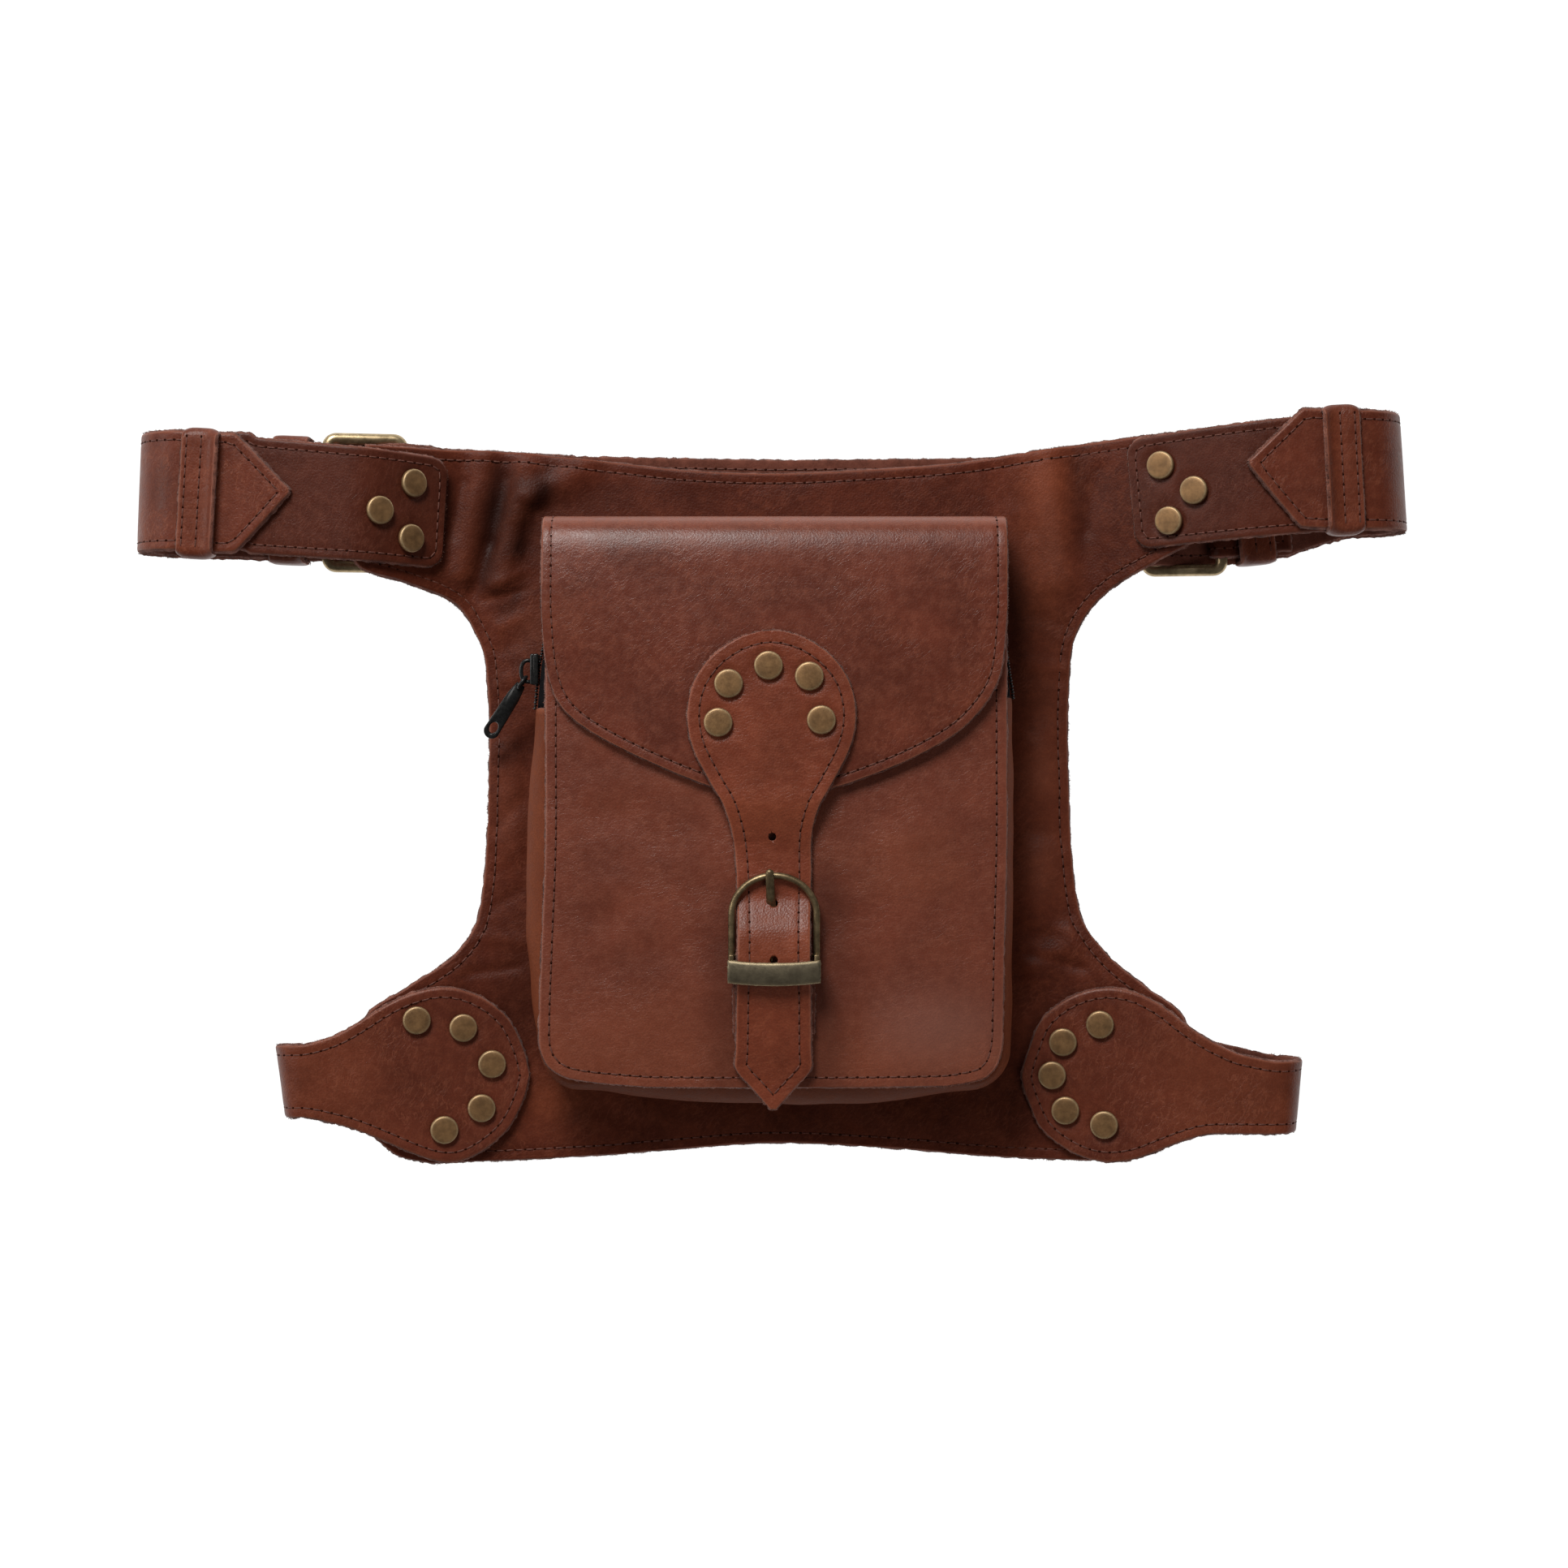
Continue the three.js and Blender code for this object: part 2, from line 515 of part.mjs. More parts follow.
const thighRear = curve(THIGH_REAR, 'x', 'y');
const HALF_THIGH = THIGH_WIDTH / 2;
function thighHalf(side) {
  const rows = side.paddle.map(({ x, top, bottom }) => {
    const { place } = overWing(side.wing, x, WING_LAYER);
    const y = (top + bottom) / 2;
    return { x: place.x, y, z: place.z, turn: 0, up: top - y, down: y - bottom };
  });
  const axis = side.fold - THIGH_RADIUS - STRAP_THICK / 2;
  const put = (out, y, z, turn) => {
    rows.push({ x: side.sign * out, y, z, turn, up: HALF_THIGH, down: HALF_THIGH });
  };
  steps(0, 1, 9).forEach((t) => {
    const angle = Math.PI * (0.5 - t);
    const turn = t < 0.5 ? mix(0, side.foldTurn, 2 * t) : mix(side.foldTurn, side.rearTurn, 2 * t - 1);
    const y = mix(side.foldY, thighRear(side.sign * axis), t);
    put(axis + THIGH_RADIUS * Math.cos(angle), y, THIGH_LEVEL + THIGH_RADIUS * Math.sin(angle), turn);
  });
  [0.86, 0.7, 0.5, 0.25].forEach((share) => {
    const out = axis * share;
    put(out, thighRear(side.sign * out), STRAP_THICK / 2, side.rearTurn * share);
  });
  return rows;
}
let thigh = strap([
  ...thighHalf(THIGH_SIDES.left),
  { x: 0, y: thighRear(0), z: STRAP_THICK / 2, turn: 0, up: HALF_THIGH, down: HALF_THIGH },
  ...thighHalf(THIGH_SIDES.right).reverse(),
], STRAP_THICK);

// Pocket: the rim that its gusset and zip follow, from the left gusset end round to the right one
const rimSide = (x, y, nx, ny) => ({ x, y, nx, ny });
function rimCorner(cx, cy, radius, from, to, count) {
  return steps(from, to, count).map((degrees) => {
    const angle = THREE.MathUtils.degToRad(degrees);
    const [nx, ny] = [Math.cos(angle), Math.sin(angle)];
    return rimSide(cx + radius * nx, cy + radius * ny, nx, ny);
  });
}
const GUSSET_LEFT_END = 24.6;
const GUSSET_RIGHT_END = 28;
const { left, right, bottom, top, lowCorner, highCorner } = POCKET;
const gussetRim = [
  ...steps(GUSSET_LEFT_END, bottom + lowCorner + 6, 5).map((y) => rimSide(left, y, -1, 0)),
  ...rimCorner(left + lowCorner, bottom + lowCorner, lowCorner, 180, 270, 4),
  ...steps(left + lowCorner + 8, right - lowCorner - 8, 7).map((x) => rimSide(x, bottom, 0, -1)),
  ...rimCorner(right - lowCorner, bottom + lowCorner, lowCorner, 270, 360, 4),
  ...steps(bottom + lowCorner + 6, GUSSET_RIGHT_END, 4).map((y) => rimSide(right, y, 1, 0)),
];
const zipRim = [
  ...steps(GUSSET_RIGHT_END + GAP, top - highCorner, 4).map((y) => rimSide(right, y, 1, 0)),
  ...rimCorner(right - highCorner, top - highCorner, highCorner, 0, 90, 4).slice(1),
  ...steps(right - highCorner - 30, left + highCorner + 30, 3).map((x) => rimSide(x, top, 0, 1)),
  ...rimCorner(left + highCorner, top - highCorner, highCorner, 90, 180, 4),
  ...steps(top - highCorner - 10, GUSSET_LEFT_END + GAP, 5).map((y) => rimSide(left, y, -1, 0)),
];
const LEFT_BULGE = curve(table('y bulge', [
  [60, 0.6], [48, 1], [38, 1.6], [24, 3], [0, 5.4], [-20, 6.3], [-48, 6.1], [-68, 4.4], [-80, 2.6], [-90, 1.6],
]), 'y', 'bulge');
const BOTTOM_BULGE = curve(table('x bulge', [
  [-66, 1.6], [-58, 2.4], [-45, 4.4], [-25, 6.4], [0, 6.9], [25, 6.9], [47, 4.8], [60, 2.6], [68, 1.8],
]), 'x', 'bulge');
const RIGHT_BULGE = curve(table('y bulge', [
  [60, 2], [40, 3.6], [-20, 4], [-60, 3.3], [-79, 2.4], [-90, 1.8],
]), 'y', 'bulge');
const TOP_BULGE = 0.5;
function bulge(point) {
  if (point.ny < -0.7) return BOTTOM_BULGE(point.x);
  if (point.ny > 0.05) return mix(2, TOP_BULGE, smooth(point.ny));
  return point.nx < 0 ? LEFT_BULGE(point.y) : RIGHT_BULGE(point.y);
}
const SECTION = table('turnIn swell rise', [
  [-6, 0, 0], [-1, 0, 0], [0, 0.62, 0.2], [0, 1, 0.48], [0, 0.74, 0.76], [-1, 0, 1], [-6, 0, 1],
]);
function pocketWall(rim, foot, head, thickness) {
  return wall(rim.map((point) => SECTION.map(({ turnIn, swell, rise }) => {
    const out = turnIn + swell * bulge(point);
    return vector(point.x + point.nx * out, point.y + point.ny * out, mix(foot(point), head, rise));
  })), thickness);
}
const gusset = pocketWall(gussetRim, () => GUSSET_FOOT, GUSSET_HEAD, GUSSET_THICK);
const tapeFoot = (point) => mix(GUSSET_FOOT, GUSSET_FOOT + FLAP_THICK + GAP, smooth((point.y - 56) / 10));
const tape = pocketWall(zipRim, tapeFoot, GUSSET_HEAD, TAPE_THICK);
const COIL_RADIUS = 0.8;
const COIL_RISE = 0.48;
const coilPath = zipRim.map((point) => {
  const out = bulge(point) + TAPE_THICK / 2 + 0.3 + COIL_RADIUS;
  const z = mix(tapeFoot(point), GUSSET_HEAD, COIL_RISE);
  return vector(point.x + point.nx * out, point.y + point.ny * out, z);
});
const coil = rod(coilPath, COIL_RADIUS, 6, upZ);

// Pocket front
const crown = (x, y) => {
  const across = clamp(1 - ((x - 1) / 74) ** 2, 0, 1);
  const along = clamp(1 - ((y + 8) / 92) ** 4, 0, 1);
  return FRONT_CROWN * across * along;
};
const frontTop = (x, y) => FRONT_RIM + FRONT_THICK / 2 + crown(x, y);
const FRONT_ROWS = table('y left right', [
  [80.5, -66, 68.5], [77, -70.4, 73], [70, -72, 74.6], [45, -72, 74.8], [15, -72, 74.8], [-18, -72, 74.8],
  [-50, -73.2, 74], [-75, -74.1, 73.6], [-84, -73.8, 73.2], [-90, -70.8, 71.2],
  [-93.6, -64, 67.4], [-95.8, -40, 56],
]);
const front = wall(FRONT_ROWS.map((row) => steps(row.left, row.right, 9).map((x) => {
  const sag = row.y < -92 ? 0.5 * (1 - ((x - 1) / 60) ** 2) : 0;
  return vector(x, row.y - sag, FRONT_RIM + crown(x, row.y));
})), FRONT_THICK);

// Flap: a hidden flange under the zip, up behind the pocket and down over its front
const FLAP_EDGE = table('x y', [
  [-73.1, 56], [-71.4, 37.5], [-67.5, 26.4], [-59.7, 18.9], [-43.2, 9.8], [-18.2, -0.6], [0.3, -5.6],
  [19.6, -0.6], [35.6, 5], [49.2, 11.2], [60.3, 18.2], [68.3, 27], [72.6, 36], [74.8, 56],
]);
const FLAP_BACK = table('y z', [
  [76, 6.5], [81.5, 6.5], [83.9, 7.3], [85, 9.6], [84.9, 33], [84.2, 37.2], [82.4, 40.2], [79.6, 41.5],
]);
const FLAP_SHARES = [0.1, 0.4, 0.7, 1];
const FLAP_FACE = FRONT_THICK / 2 + FLAP_STANDOFF + FLAP_THICK / 2;
const flapFrom = 79.6;
const flapMiddle = (x, y) => FRONT_RIM + crown(x, y) + FLAP_FACE;
const flapBackLift = (z) => z + 0.2 * smooth((z - 20) / 20);
let flap = wall([
  ...FLAP_BACK.map((row) => FLAP_EDGE.map((edge) => vector(edge.x, row.y, flapBackLift(row.z)))),
  ...FLAP_SHARES.map((share) => FLAP_EDGE.map((edge) => {
    const y = mix(flapFrom, edge.y, share);
    return vector(edge.x, y, flapMiddle(edge.x, y));
  })),
], FLAP_THICK);

// Tongue: a round head riveted to the flap, a strap that rises through its buckle, a pointed end
const TONGUE = table('y half lift', [
  [48.6, 3, 4.95], [46, 11.4, 4.95], [40, 19.6, 4.95], [31.5, 24.9, 4.95], [21.5, 26.5, 4.95],
  [12, 24.7, 4.95], [0.1, 18.7, 4.95], [-6.3, 15, 4.9], [-13.5, 12.8, 3.1], [-20, 12, 1.75],
  [-29, 11.7, 1.65], [-36, 11.5, 1.8], [-41, 11.4, 3.9], [-46.5, 11.3, 6.4], [-54, 11.3, 7.6],
  [-59, 11.3, 7.5], [-66, 11.6, 5.5], [-76, 11.7, 3.6], [-84, 11.8, 3.1], [-90, 11.8, 2.4],
  [-96.4, 6.4, 1.8], [-102.9, 0.8, 1.5],
]);
const TONGUE_SHIFT = curve(table('y x', [[50, 0], [-10, 0], [-30, 0.7], [-103, 0.5]]), 'y', 'x');
const tongueLift = curve(TONGUE, 'y', 'lift');
const buckleTop = (y) => frontTop(0.8, Math.max(y, -94));
let tongue = wall(TONGUE.map((row) => steps(-1, 1, 5).map((share) => {
  const x = TONGUE_SHIFT(row.y) + share * row.half;
  const base = row.y > -10 ? frontTop(x, row.y) : buckleTop(row.y);
  return vector(x, row.y, base + row.lift);
})), TONGUE_THICK);

// Buckle of the tongue: wire arch, heel bar and raised sleeve, soldered into one
const BUCKLE = {
  middle: 0.8, half: 13.5, arch: -28.6, heel: -54, sleeveTop: -55.2, sleeveLow: -62.1, sleeve: 9.6,
};
const heelHeight = buckleTop(BUCKLE.heel) + GAP + CHAPE_THICK + 0.3 + TONGUE_WIRE_RADIUS;
const underArch = buckleTop(BUCKLE.arch) + tongueLift(BUCKLE.arch) + TONGUE_THICK / 2;
const archHeight = underArch + GAP + TONGUE_WIRE_RADIUS;
const sleeveHeight = buckleTop(BUCKLE.heel) + BUCKLE.sleeve;
const archPath = [
  vector(BUCKLE.middle - BUCKLE.half, BUCKLE.heel - 2, heelHeight),
  vector(BUCKLE.middle - BUCKLE.half, -46, mix(heelHeight, archHeight, 0.6)),
  ...steps(180, 0, 9).map((degrees) => {
    const angle = THREE.MathUtils.degToRad(degrees);
    const rise = BUCKLE.half * 0.92 * Math.sin(angle);
    const y = BUCKLE.arch - BUCKLE.half * 0.92 + rise;
    const x = BUCKLE.middle + BUCKLE.half * Math.cos(angle);
    return vector(x, y, archHeight);
  }),
  vector(BUCKLE.middle + BUCKLE.half, -46, mix(heelHeight, archHeight, 0.6)),
  vector(BUCKLE.middle + BUCKLE.half, BUCKLE.heel - 2, heelHeight),
];
const heelPath = [-1, 1].map((sign) => vector(BUCKLE.middle + sign * BUCKLE.half, BUCKLE.heel, heelHeight));
const sleeveGrid = steps(BUCKLE.sleeveTop, BUCKLE.sleeveLow, 2).map((y) => steps(-1, 1, 7).map((share) => {
  const x = BUCKLE.middle + share * (BUCKLE.half + 1.1);
  return vector(x, y - 0.9 * (1 - share * share), sleeveHeight + 0.6 * (1 - share * share));
}));
const posts = [-1, 1].map((sign) => {
  const x = BUCKLE.middle + sign * BUCKLE.half;
  return block(x - 0.8, x + 0.8, BUCKLE.sleeveLow + 1.5, BUCKLE.heel + 0.6, heelHeight - 0.8, sleeveHeight);
});
const tongueBuckle = join(
  rod(archPath, TONGUE_WIRE_RADIUS, 8, upZ),
  rod(heelPath, TONGUE_WIRE_RADIUS, 8, upZ),
  wall(sleeveGrid, 1.3),
  ...posts,
);
const TONGUE_PRONG_RADIUS = 0.9;
const TONGUE_PRONG_X = -0.4;
const TONGUE_RING = TONGUE_WIRE_RADIUS + 0.3 + TONGUE_PRONG_RADIUS;
function tongueShank(radius) {
  const x = TONGUE_PRONG_X;
  const tip = archHeight + TONGUE_WIRE_RADIUS + 0.3 + TONGUE_PRONG_RADIUS;
  return rod([
    vector(x, BUCKLE.heel + TONGUE_RING - 0.3, heelHeight + 0.1),
    vector(x, -45, heelHeight + 0.1),
    vector(x, -40, heelHeight + 0.7),
    vector(x - 0.4, -34.5, mix(heelHeight + 0.7, tip, 0.5)),
    vector(x - 0.8, BUCKLE.arch, tip),
    vector(x - 0.9, BUCKLE.arch + 2.2, tip - 0.1),
  ], radius, 6, vector(1, 0, 0));
}
function tongueProng() {
  const ring = ringAngles.map((angle) => vector(
    TONGUE_PRONG_X,
    BUCKLE.heel + TONGUE_RING * Math.cos(angle),
    heelHeight + TONGUE_RING * Math.sin(angle),
  ));
  return join(rod(ring, TONGUE_PRONG_RADIUS, 6, vector(1, 0, 0), true), tongueShank(TONGUE_PRONG_RADIUS));
}
function tongueSlot() {
  const half = TONGUE_PRONG_RADIUS + GAP;
  const reach = TONGUE_RING + TONGUE_PRONG_RADIUS + 0.6;
  return block(TONGUE_PRONG_X - half, TONGUE_PRONG_X + half, BUCKLE.heel - reach, BUCKLE.heel + reach,
    heelHeight - 4, heelHeight + 4);
}
const CHAPE_WRAP = TONGUE_WIRE_RADIUS + 0.3 + CHAPE_THICK / 2;
const chapeBase = buckleTop(BUCKLE.heel) + GAP + CHAPE_THICK / 2;
const chapePath = [
  { y: -79, z: chapeBase - 0.2, half: 12.6 },
  { y: -66, z: chapeBase, half: 12.9 },
  { y: -57, z: chapeBase, half: 11.8 },
  ...steps(-90, 90, 7).map((degrees) => {
    const angle = THREE.MathUtils.degToRad(degrees);
    const y = BUCKLE.heel + CHAPE_WRAP * Math.cos(angle);
    return { y, z: heelHeight + CHAPE_WRAP * Math.sin(angle), half: 11.6 };
  }),
  { y: -58, z: chapeBase + 2.7, half: 11.6 }, { y: -61, z: chapeBase + CHAPE_THICK + GAP, half: 11.8 },
  { y: -66, z: chapeBase + CHAPE_THICK + GAP, half: 12 },
];
const CHAPE_MIDDLE = 0.7;
const chapeGrid = chapePath.map(({ y, z, half }) => [-half, half]
  .map((reach) => vector(CHAPE_MIDDLE + reach, y, z)));
const chape = wall(chapeGrid, CHAPE_THICK);

// Zip slider and its pull
const SLIDER = { y: 37.6, z: mix(GUSSET_FOOT, GUSSET_HEAD, COIL_RISE), length: 10, height: 8.4 };
const tapeFace = POCKET.left - LEFT_BULGE(SLIDER.y) - TAPE_THICK / 2;
const coilAxis = tapeFace - 0.3 - COIL_RADIUS;
const sliderFace = coilAxis - COIL_RADIUS - GAP - 1.4;
const bailFace = sliderFace - 3.2;
const BAIL_RADIUS = 0.65;
const bailPath = table('out y', [
  [0.6, 4], [-2.6, 4], [-3.2, 3.4], [-3.2, -3.4], [-2.6, -4], [0.6, -4],
]).map(({ out, y }) => vector(sliderFace + out, SLIDER.y + y, SLIDER.z));
const slider = cut(
  join(
    block(sliderFace, coilAxis + 0.1, SLIDER.y - SLIDER.length / 2, SLIDER.y + SLIDER.length / 2,
      SLIDER.z - SLIDER.height / 2, SLIDER.z + SLIDER.height / 2),
    rod(bailPath, BAIL_RADIUS, 8, upZ),
  ),
  block(coilAxis - COIL_RADIUS - GAP, coilAxis + 2, SLIDER.y - SLIDER.length, SLIDER.y + SLIDER.length,
    SLIDER.z - COIL_RADIUS - GAP, SLIDER.z + COIL_RADIUS + GAP),
);
const PULL = { heading: 34, pitch: 16, ring: 2.3, wire: 0.6, length: 20.2, neck: 2.1, head: 2.6, thick: 1.5 };
const pullOutline = new THREE.Shape();
pullOutline.moveTo(0, -PULL.neck);
pullOutline.lineTo(PULL.length - PULL.head, -PULL.head);
pullOutline.absarc(PULL.length - PULL.head, 0, PULL.head, -Math.PI / 2, Math.PI / 2);
pullOutline.lineTo(0, PULL.neck);
const eyelet = new THREE.Path();
eyelet.absellipse(PULL.length - 3.9, 0, 2.1, 1.35, 0, 2 * Math.PI, true);
pullOutline.holes.push(eyelet);
const tabSettings = { depth: PULL.thick, bevelEnabled: false, curveSegments: 6 };
const tab = new THREE.ExtrudeGeometry(pullOutline, tabSettings);
tab.translate(2 * PULL.ring - 0.4, 0, -PULL.thick / 2);
const pullRing = ringAngles.map((angle) => vector(
  PULL.ring - PULL.ring * Math.cos(angle), 0, PULL.ring * Math.sin(angle),
));
const pull = join(tab, rod(pullRing, PULL.wire, 6, acrossY, true));
const pullHold = vector(bailFace + BAIL_RADIUS + 0.3 + PULL.wire, SLIDER.y - 2.4, SLIDER.z);
pull.rotateY(THREE.MathUtils.degToRad(PULL.pitch));
pull.rotateZ(THREE.MathUtils.degToRad(-90 - PULL.heading));
pull.translate(pullHold.x, pullHold.y, pullHold.z);

// Rivets: domed cap, post through the leather, flat cap behind
function rivet(place, normal, stack, seat) {
  const { capRadius, capHeight, postRadius, backRadius, backHeight } = RIVET;
  const depth = stack + 2 * seat;
  const profile = [
    [0, capHeight], [capRadius * 0.74, capHeight * 0.8], [capRadius, 0], [postRadius, 0],
    [postRadius, -depth], [backRadius, -depth], [0, -depth - backHeight],
  ].map(([r, h]) => new THREE.Vector2(r, h)).reverse();
  const turn = new THREE.Quaternion().setFromUnitVectors(acrossY, normal);
  const settle = (geometry) => {
    geometry.translate(0, seat, 0).applyQuaternion(turn);
    return geometry.translate(place.x, place.y, place.z);
  };
  const bore = new THREE.CylinderGeometry(postRadius + 0.6, postRadius + 0.6, stack + 2, 6);
  return {
    body: settle(new THREE.LatheGeometry(profile, 8)),
    bore: settle(bore.translate(0, -stack / 2 - seat, 0)),
  };
}
const rivets = [];
const onWingRivet = (name, wing, x, y) => {
  const away = WING_LAYER + STRAP_THICK / 2;
  const guess = overWing(wing, x, away).normal;
  const { place, normal } = overWing(wing, x - guess.x * away, away);
  const stack = STRAP_THICK + WING_GAP + PANEL_THICK;
  rivets.push({ name, ...rivet(vector(place.x, y, place.z), normal, stack, WING_GAP) });
};
const onTongueRivet = (name, x, y) => {
  const height = frontTop(x, y) + tongueLift(y) + TONGUE_THICK / 2;
  const stack = TONGUE_THICK + GAP + FLAP_THICK;
  rivets.push({ name, ...rivet(vector(x, y, height), upZ, stack, GAP) });
};
const RIVET_PLACES = {
  tongue: [[-13.6, 32.2], [-1.0, 37.9], [11.9, 34.5], [-16.9, 19.9], [15.7, 20.7]],
  upperLeft: [[-116.6, 98.2], [-126.4, 88.8], [-117.4, 80.2]],
  upperRight: [[126.7, 104.2], [136.8, 95.6], [129.2, 86.1]],
  lowerLeft: [[-116.2, -76.8], [-101.3, -79.5], [-92, -91.5], [-95.4, -105.9], [-107.4, -112.8]],
  lowerRight: [[107.5, -78.4], [95.5, -84.3], [92, -95.2], [96.3, -106.7], [108.8, -111.2]],
};
RIVET_PLACES.tongue.forEach(([x, y], i) => onTongueRivet(`rivet_tongue_${i + 1}`, x, y));
Object.entries(WINGS).forEach(([wing, shape]) => {
  const name = wing.replace(/[A-Z]/, (letter) => `_${letter.toLowerCase()}`);
  RIVET_PLACES[wing].forEach(([x, y], i) => onWingRivet(`rivet_${name}_${i + 1}`, shape, x, y));
});
const boresOf = (test) => rivets.filter(({ name }) => test(name)).map(({ bore }) => bore);

// Punched holes, prong slots and rivet holes
const punch = (y) => {
  const hole = new THREE.CylinderGeometry(2, 2, 8, 8);
  return hole.rotateX(Math.PI / 2).translate(TONGUE_SHIFT(y), y, buckleTop(y) + tongueLift(y));
};
const tongueHoles = [punch(-16.3), punch(-55.1), tongueShank(TONGUE_PRONG_RADIUS + GAP)];
tongue = cut(tongue, ...tongueHoles, ...boresOf((name) => name.includes('tongue')));
flap = cut(flap, ...boresOf((name) => name.includes('tongue')));
panel = cut(panel, ...boresOf((name) => !name.includes('tongue')));
thigh = cut(thigh, ...boresOf((name) => name.includes('lower')));
belt = cut(belt, ...Object.values(SIDES).map((side) => beltShank(side, PRONG_RADIUS + GAP)));

// Assembly
add('back_panel', panel, 'leather');
add('pocket_gusset', gusset, 'leather');
add('zip_tape', tape, 'zip');
add('zip_coil', coil, 'zip');
add('zip_slider', slider, 'zip');
add('zip_pull', pull, 'zip');
add('pocket_front', front, 'leather');
add('pocket_flap', flap, 'leather');
add('flap_tongue', tongue, 'leather');
add('tongue_buckle', tongueBuckle, 'brass');
add('tongue_prong', tongueProng(), 'brass');
add('tongue_chape', cut(chape, tongueSlot()), 'leather');
add('belt_strap', belt, 'leather');
add('thigh_strap', thigh, 'leather');
Object.entries(SIDES).forEach(([name, side]) => {
  const bores = boresOf((rivetName) => rivetName.includes(`upper_${name}`));
  add(`buckle_strap_${name}`, cut(buckleStraps[name], beltSlot(side), ...bores), 'leather');
  add(`belt_buckle_${name}`, beltBuckle(side), 'brass');
  add(`belt_prong_${name}`, beltProng(side), 'brass');
  const low = FRONT_LEVEL - LAYER - STRAP_THICK / 2 - GAP;
  const high = FRONT_LEVEL + STRAP_THICK / 2 + GAP;
  const frontX = side.sign * side.frontKeeper;
  add(`front_keeper_${name}`, keeper(frontX, side.frontY, low, high, side.keeperTurn), 'leather');
  const rearHigh = RETURN_LEVEL + 1.3 + STRAP_THICK / 2 + GAP;
  const rearY = mix(side.foldY, side.rearY, 0.87);
  const rearTurn = mix(side.foldTurn, side.rearTurn, 0.5);
  const rearX = side.sign * side.keeper;
  add(`rear_keeper_${name}`, keeper(rearX, rearY, KEEPER_THICK, rearHigh, rearTurn), 'leather');
});
rivets.forEach(({ name, body }) => add(name, body, 'brass'));

// The whole is set down with its box centred over the origin
const box = new THREE.Box3().setFromObject(group);
const middle = box.getCenter(vector(0, 0, 0));
group.children.forEach((mesh) => mesh.geometry.translate(-middle.x, -middle.y, -box.min.z));

export default group;
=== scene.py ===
import math

import bmesh
import bpy
import numpy as np
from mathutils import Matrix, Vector
from mathutils.kdtree import KDTree


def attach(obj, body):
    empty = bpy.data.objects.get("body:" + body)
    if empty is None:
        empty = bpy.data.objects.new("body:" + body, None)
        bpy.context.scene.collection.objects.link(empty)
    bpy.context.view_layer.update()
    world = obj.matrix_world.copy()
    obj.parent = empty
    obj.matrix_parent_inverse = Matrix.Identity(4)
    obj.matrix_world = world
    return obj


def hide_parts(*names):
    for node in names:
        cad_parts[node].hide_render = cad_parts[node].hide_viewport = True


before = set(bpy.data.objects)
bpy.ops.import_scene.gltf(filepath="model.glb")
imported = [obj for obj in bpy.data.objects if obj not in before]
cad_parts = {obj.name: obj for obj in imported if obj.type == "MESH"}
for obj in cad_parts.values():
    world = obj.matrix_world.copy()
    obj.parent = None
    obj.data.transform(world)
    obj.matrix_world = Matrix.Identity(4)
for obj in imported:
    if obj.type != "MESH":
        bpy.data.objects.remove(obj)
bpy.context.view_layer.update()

# Camera
# It looks straight down on the bag from a metre above the floor, with the belt towards the top of
# a square picture, as a bag laid out on a table is shown.
camera = bpy.data.objects.new("camera", bpy.data.cameras.new("camera"))
camera.location = (0.0039, 0.0011, 1.0)
camera.data.sensor_width = 36.0
camera.data.lens = 69.2
bpy.context.scene.collection.objects.link(camera)
bpy.context.scene.camera = camera
bpy.context.scene.view_settings.view_transform = "Standard"

# Floor and light
# A white light table, a soft light beyond the top left, a weak one on the left, a broad fill from the
# lower right that leaves no shine, and a dim room, so that the leather stays deep brown.
FLOOR_HALF = 12.0
FLOOR_LEVEL = -0.0004
FLOOR_GLOW = 1.0
ROOM_GLOW = 0.06


def join(tree, node, sockets):
    """A node's sockets set to numbers, or linked to other nodes' sockets."""
    for name, value in sockets.items():
        if isinstance(value, bpy.types.NodeSocket):
            tree.links.new(value, node.inputs[name])
        else:
            node.inputs[name].default_value = value


def put(tree, kind, sockets=None, **settings):
    """A shader node with its settings and its sockets."""
    made = tree.nodes.new(kind)
    for name, value in settings.items():
        setattr(made, name, value)
    join(tree, made, sockets or {})
    return made


def shader(name):
    """A new material's node tree and its surface shader."""
    material = bpy.data.materials.new(name)
    material.use_nodes = True
    return material, material.node_tree, material.node_tree.nodes["Principled BSDF"]


def softbox(name, place, size, watts, tint):
    """A square soft light that faces the middle of the bag, as an object."""
    light = bpy.data.lights.new(name, "AREA")
    light.size = size
    light.energy = watts
    light.color = tint
    lamp = bpy.data.objects.new(name, light)
    lamp.location = place
    lamp.rotation_euler = (-Vector(place)).to_track_quat("-Z", "Y").to_euler()
    bpy.context.scene.collection.objects.link(lamp)
    return lamp


floor_mesh = bpy.data.meshes.new("floor")
floor_corners = [(-1, -1), (1, -1), (1, 1), (-1, 1)]
floor_points = [(FLOOR_HALF * x, FLOOR_HALF * y, FLOOR_LEVEL) for x, y in floor_corners]
floor_mesh.from_pydata(floor_points, [], [(0, 1, 2, 3)])
floor = bpy.data.objects.new("floor", floor_mesh)
bpy.context.scene.collection.objects.link(floor)
table_white, tree, surface = shader("table_white")
speckle = put(tree, "ShaderNodeTexNoise", {"Scale": 60.0, "Detail": 2.0})
paper = put(tree, "ShaderNodeMapRange", {"Value": speckle.outputs["Fac"], "To Min": 0.1, "To Max": 0.12})
join(tree, surface, {
    "Base Color": paper.outputs["Result"], "Roughness": 0.9, "Specular IOR Level": 0.0,
    "Emission Color": (1.0, 1.0, 1.0, 1.0), "Emission Strength": FLOOR_GLOW,
})
floor_mesh.materials.append(table_white)

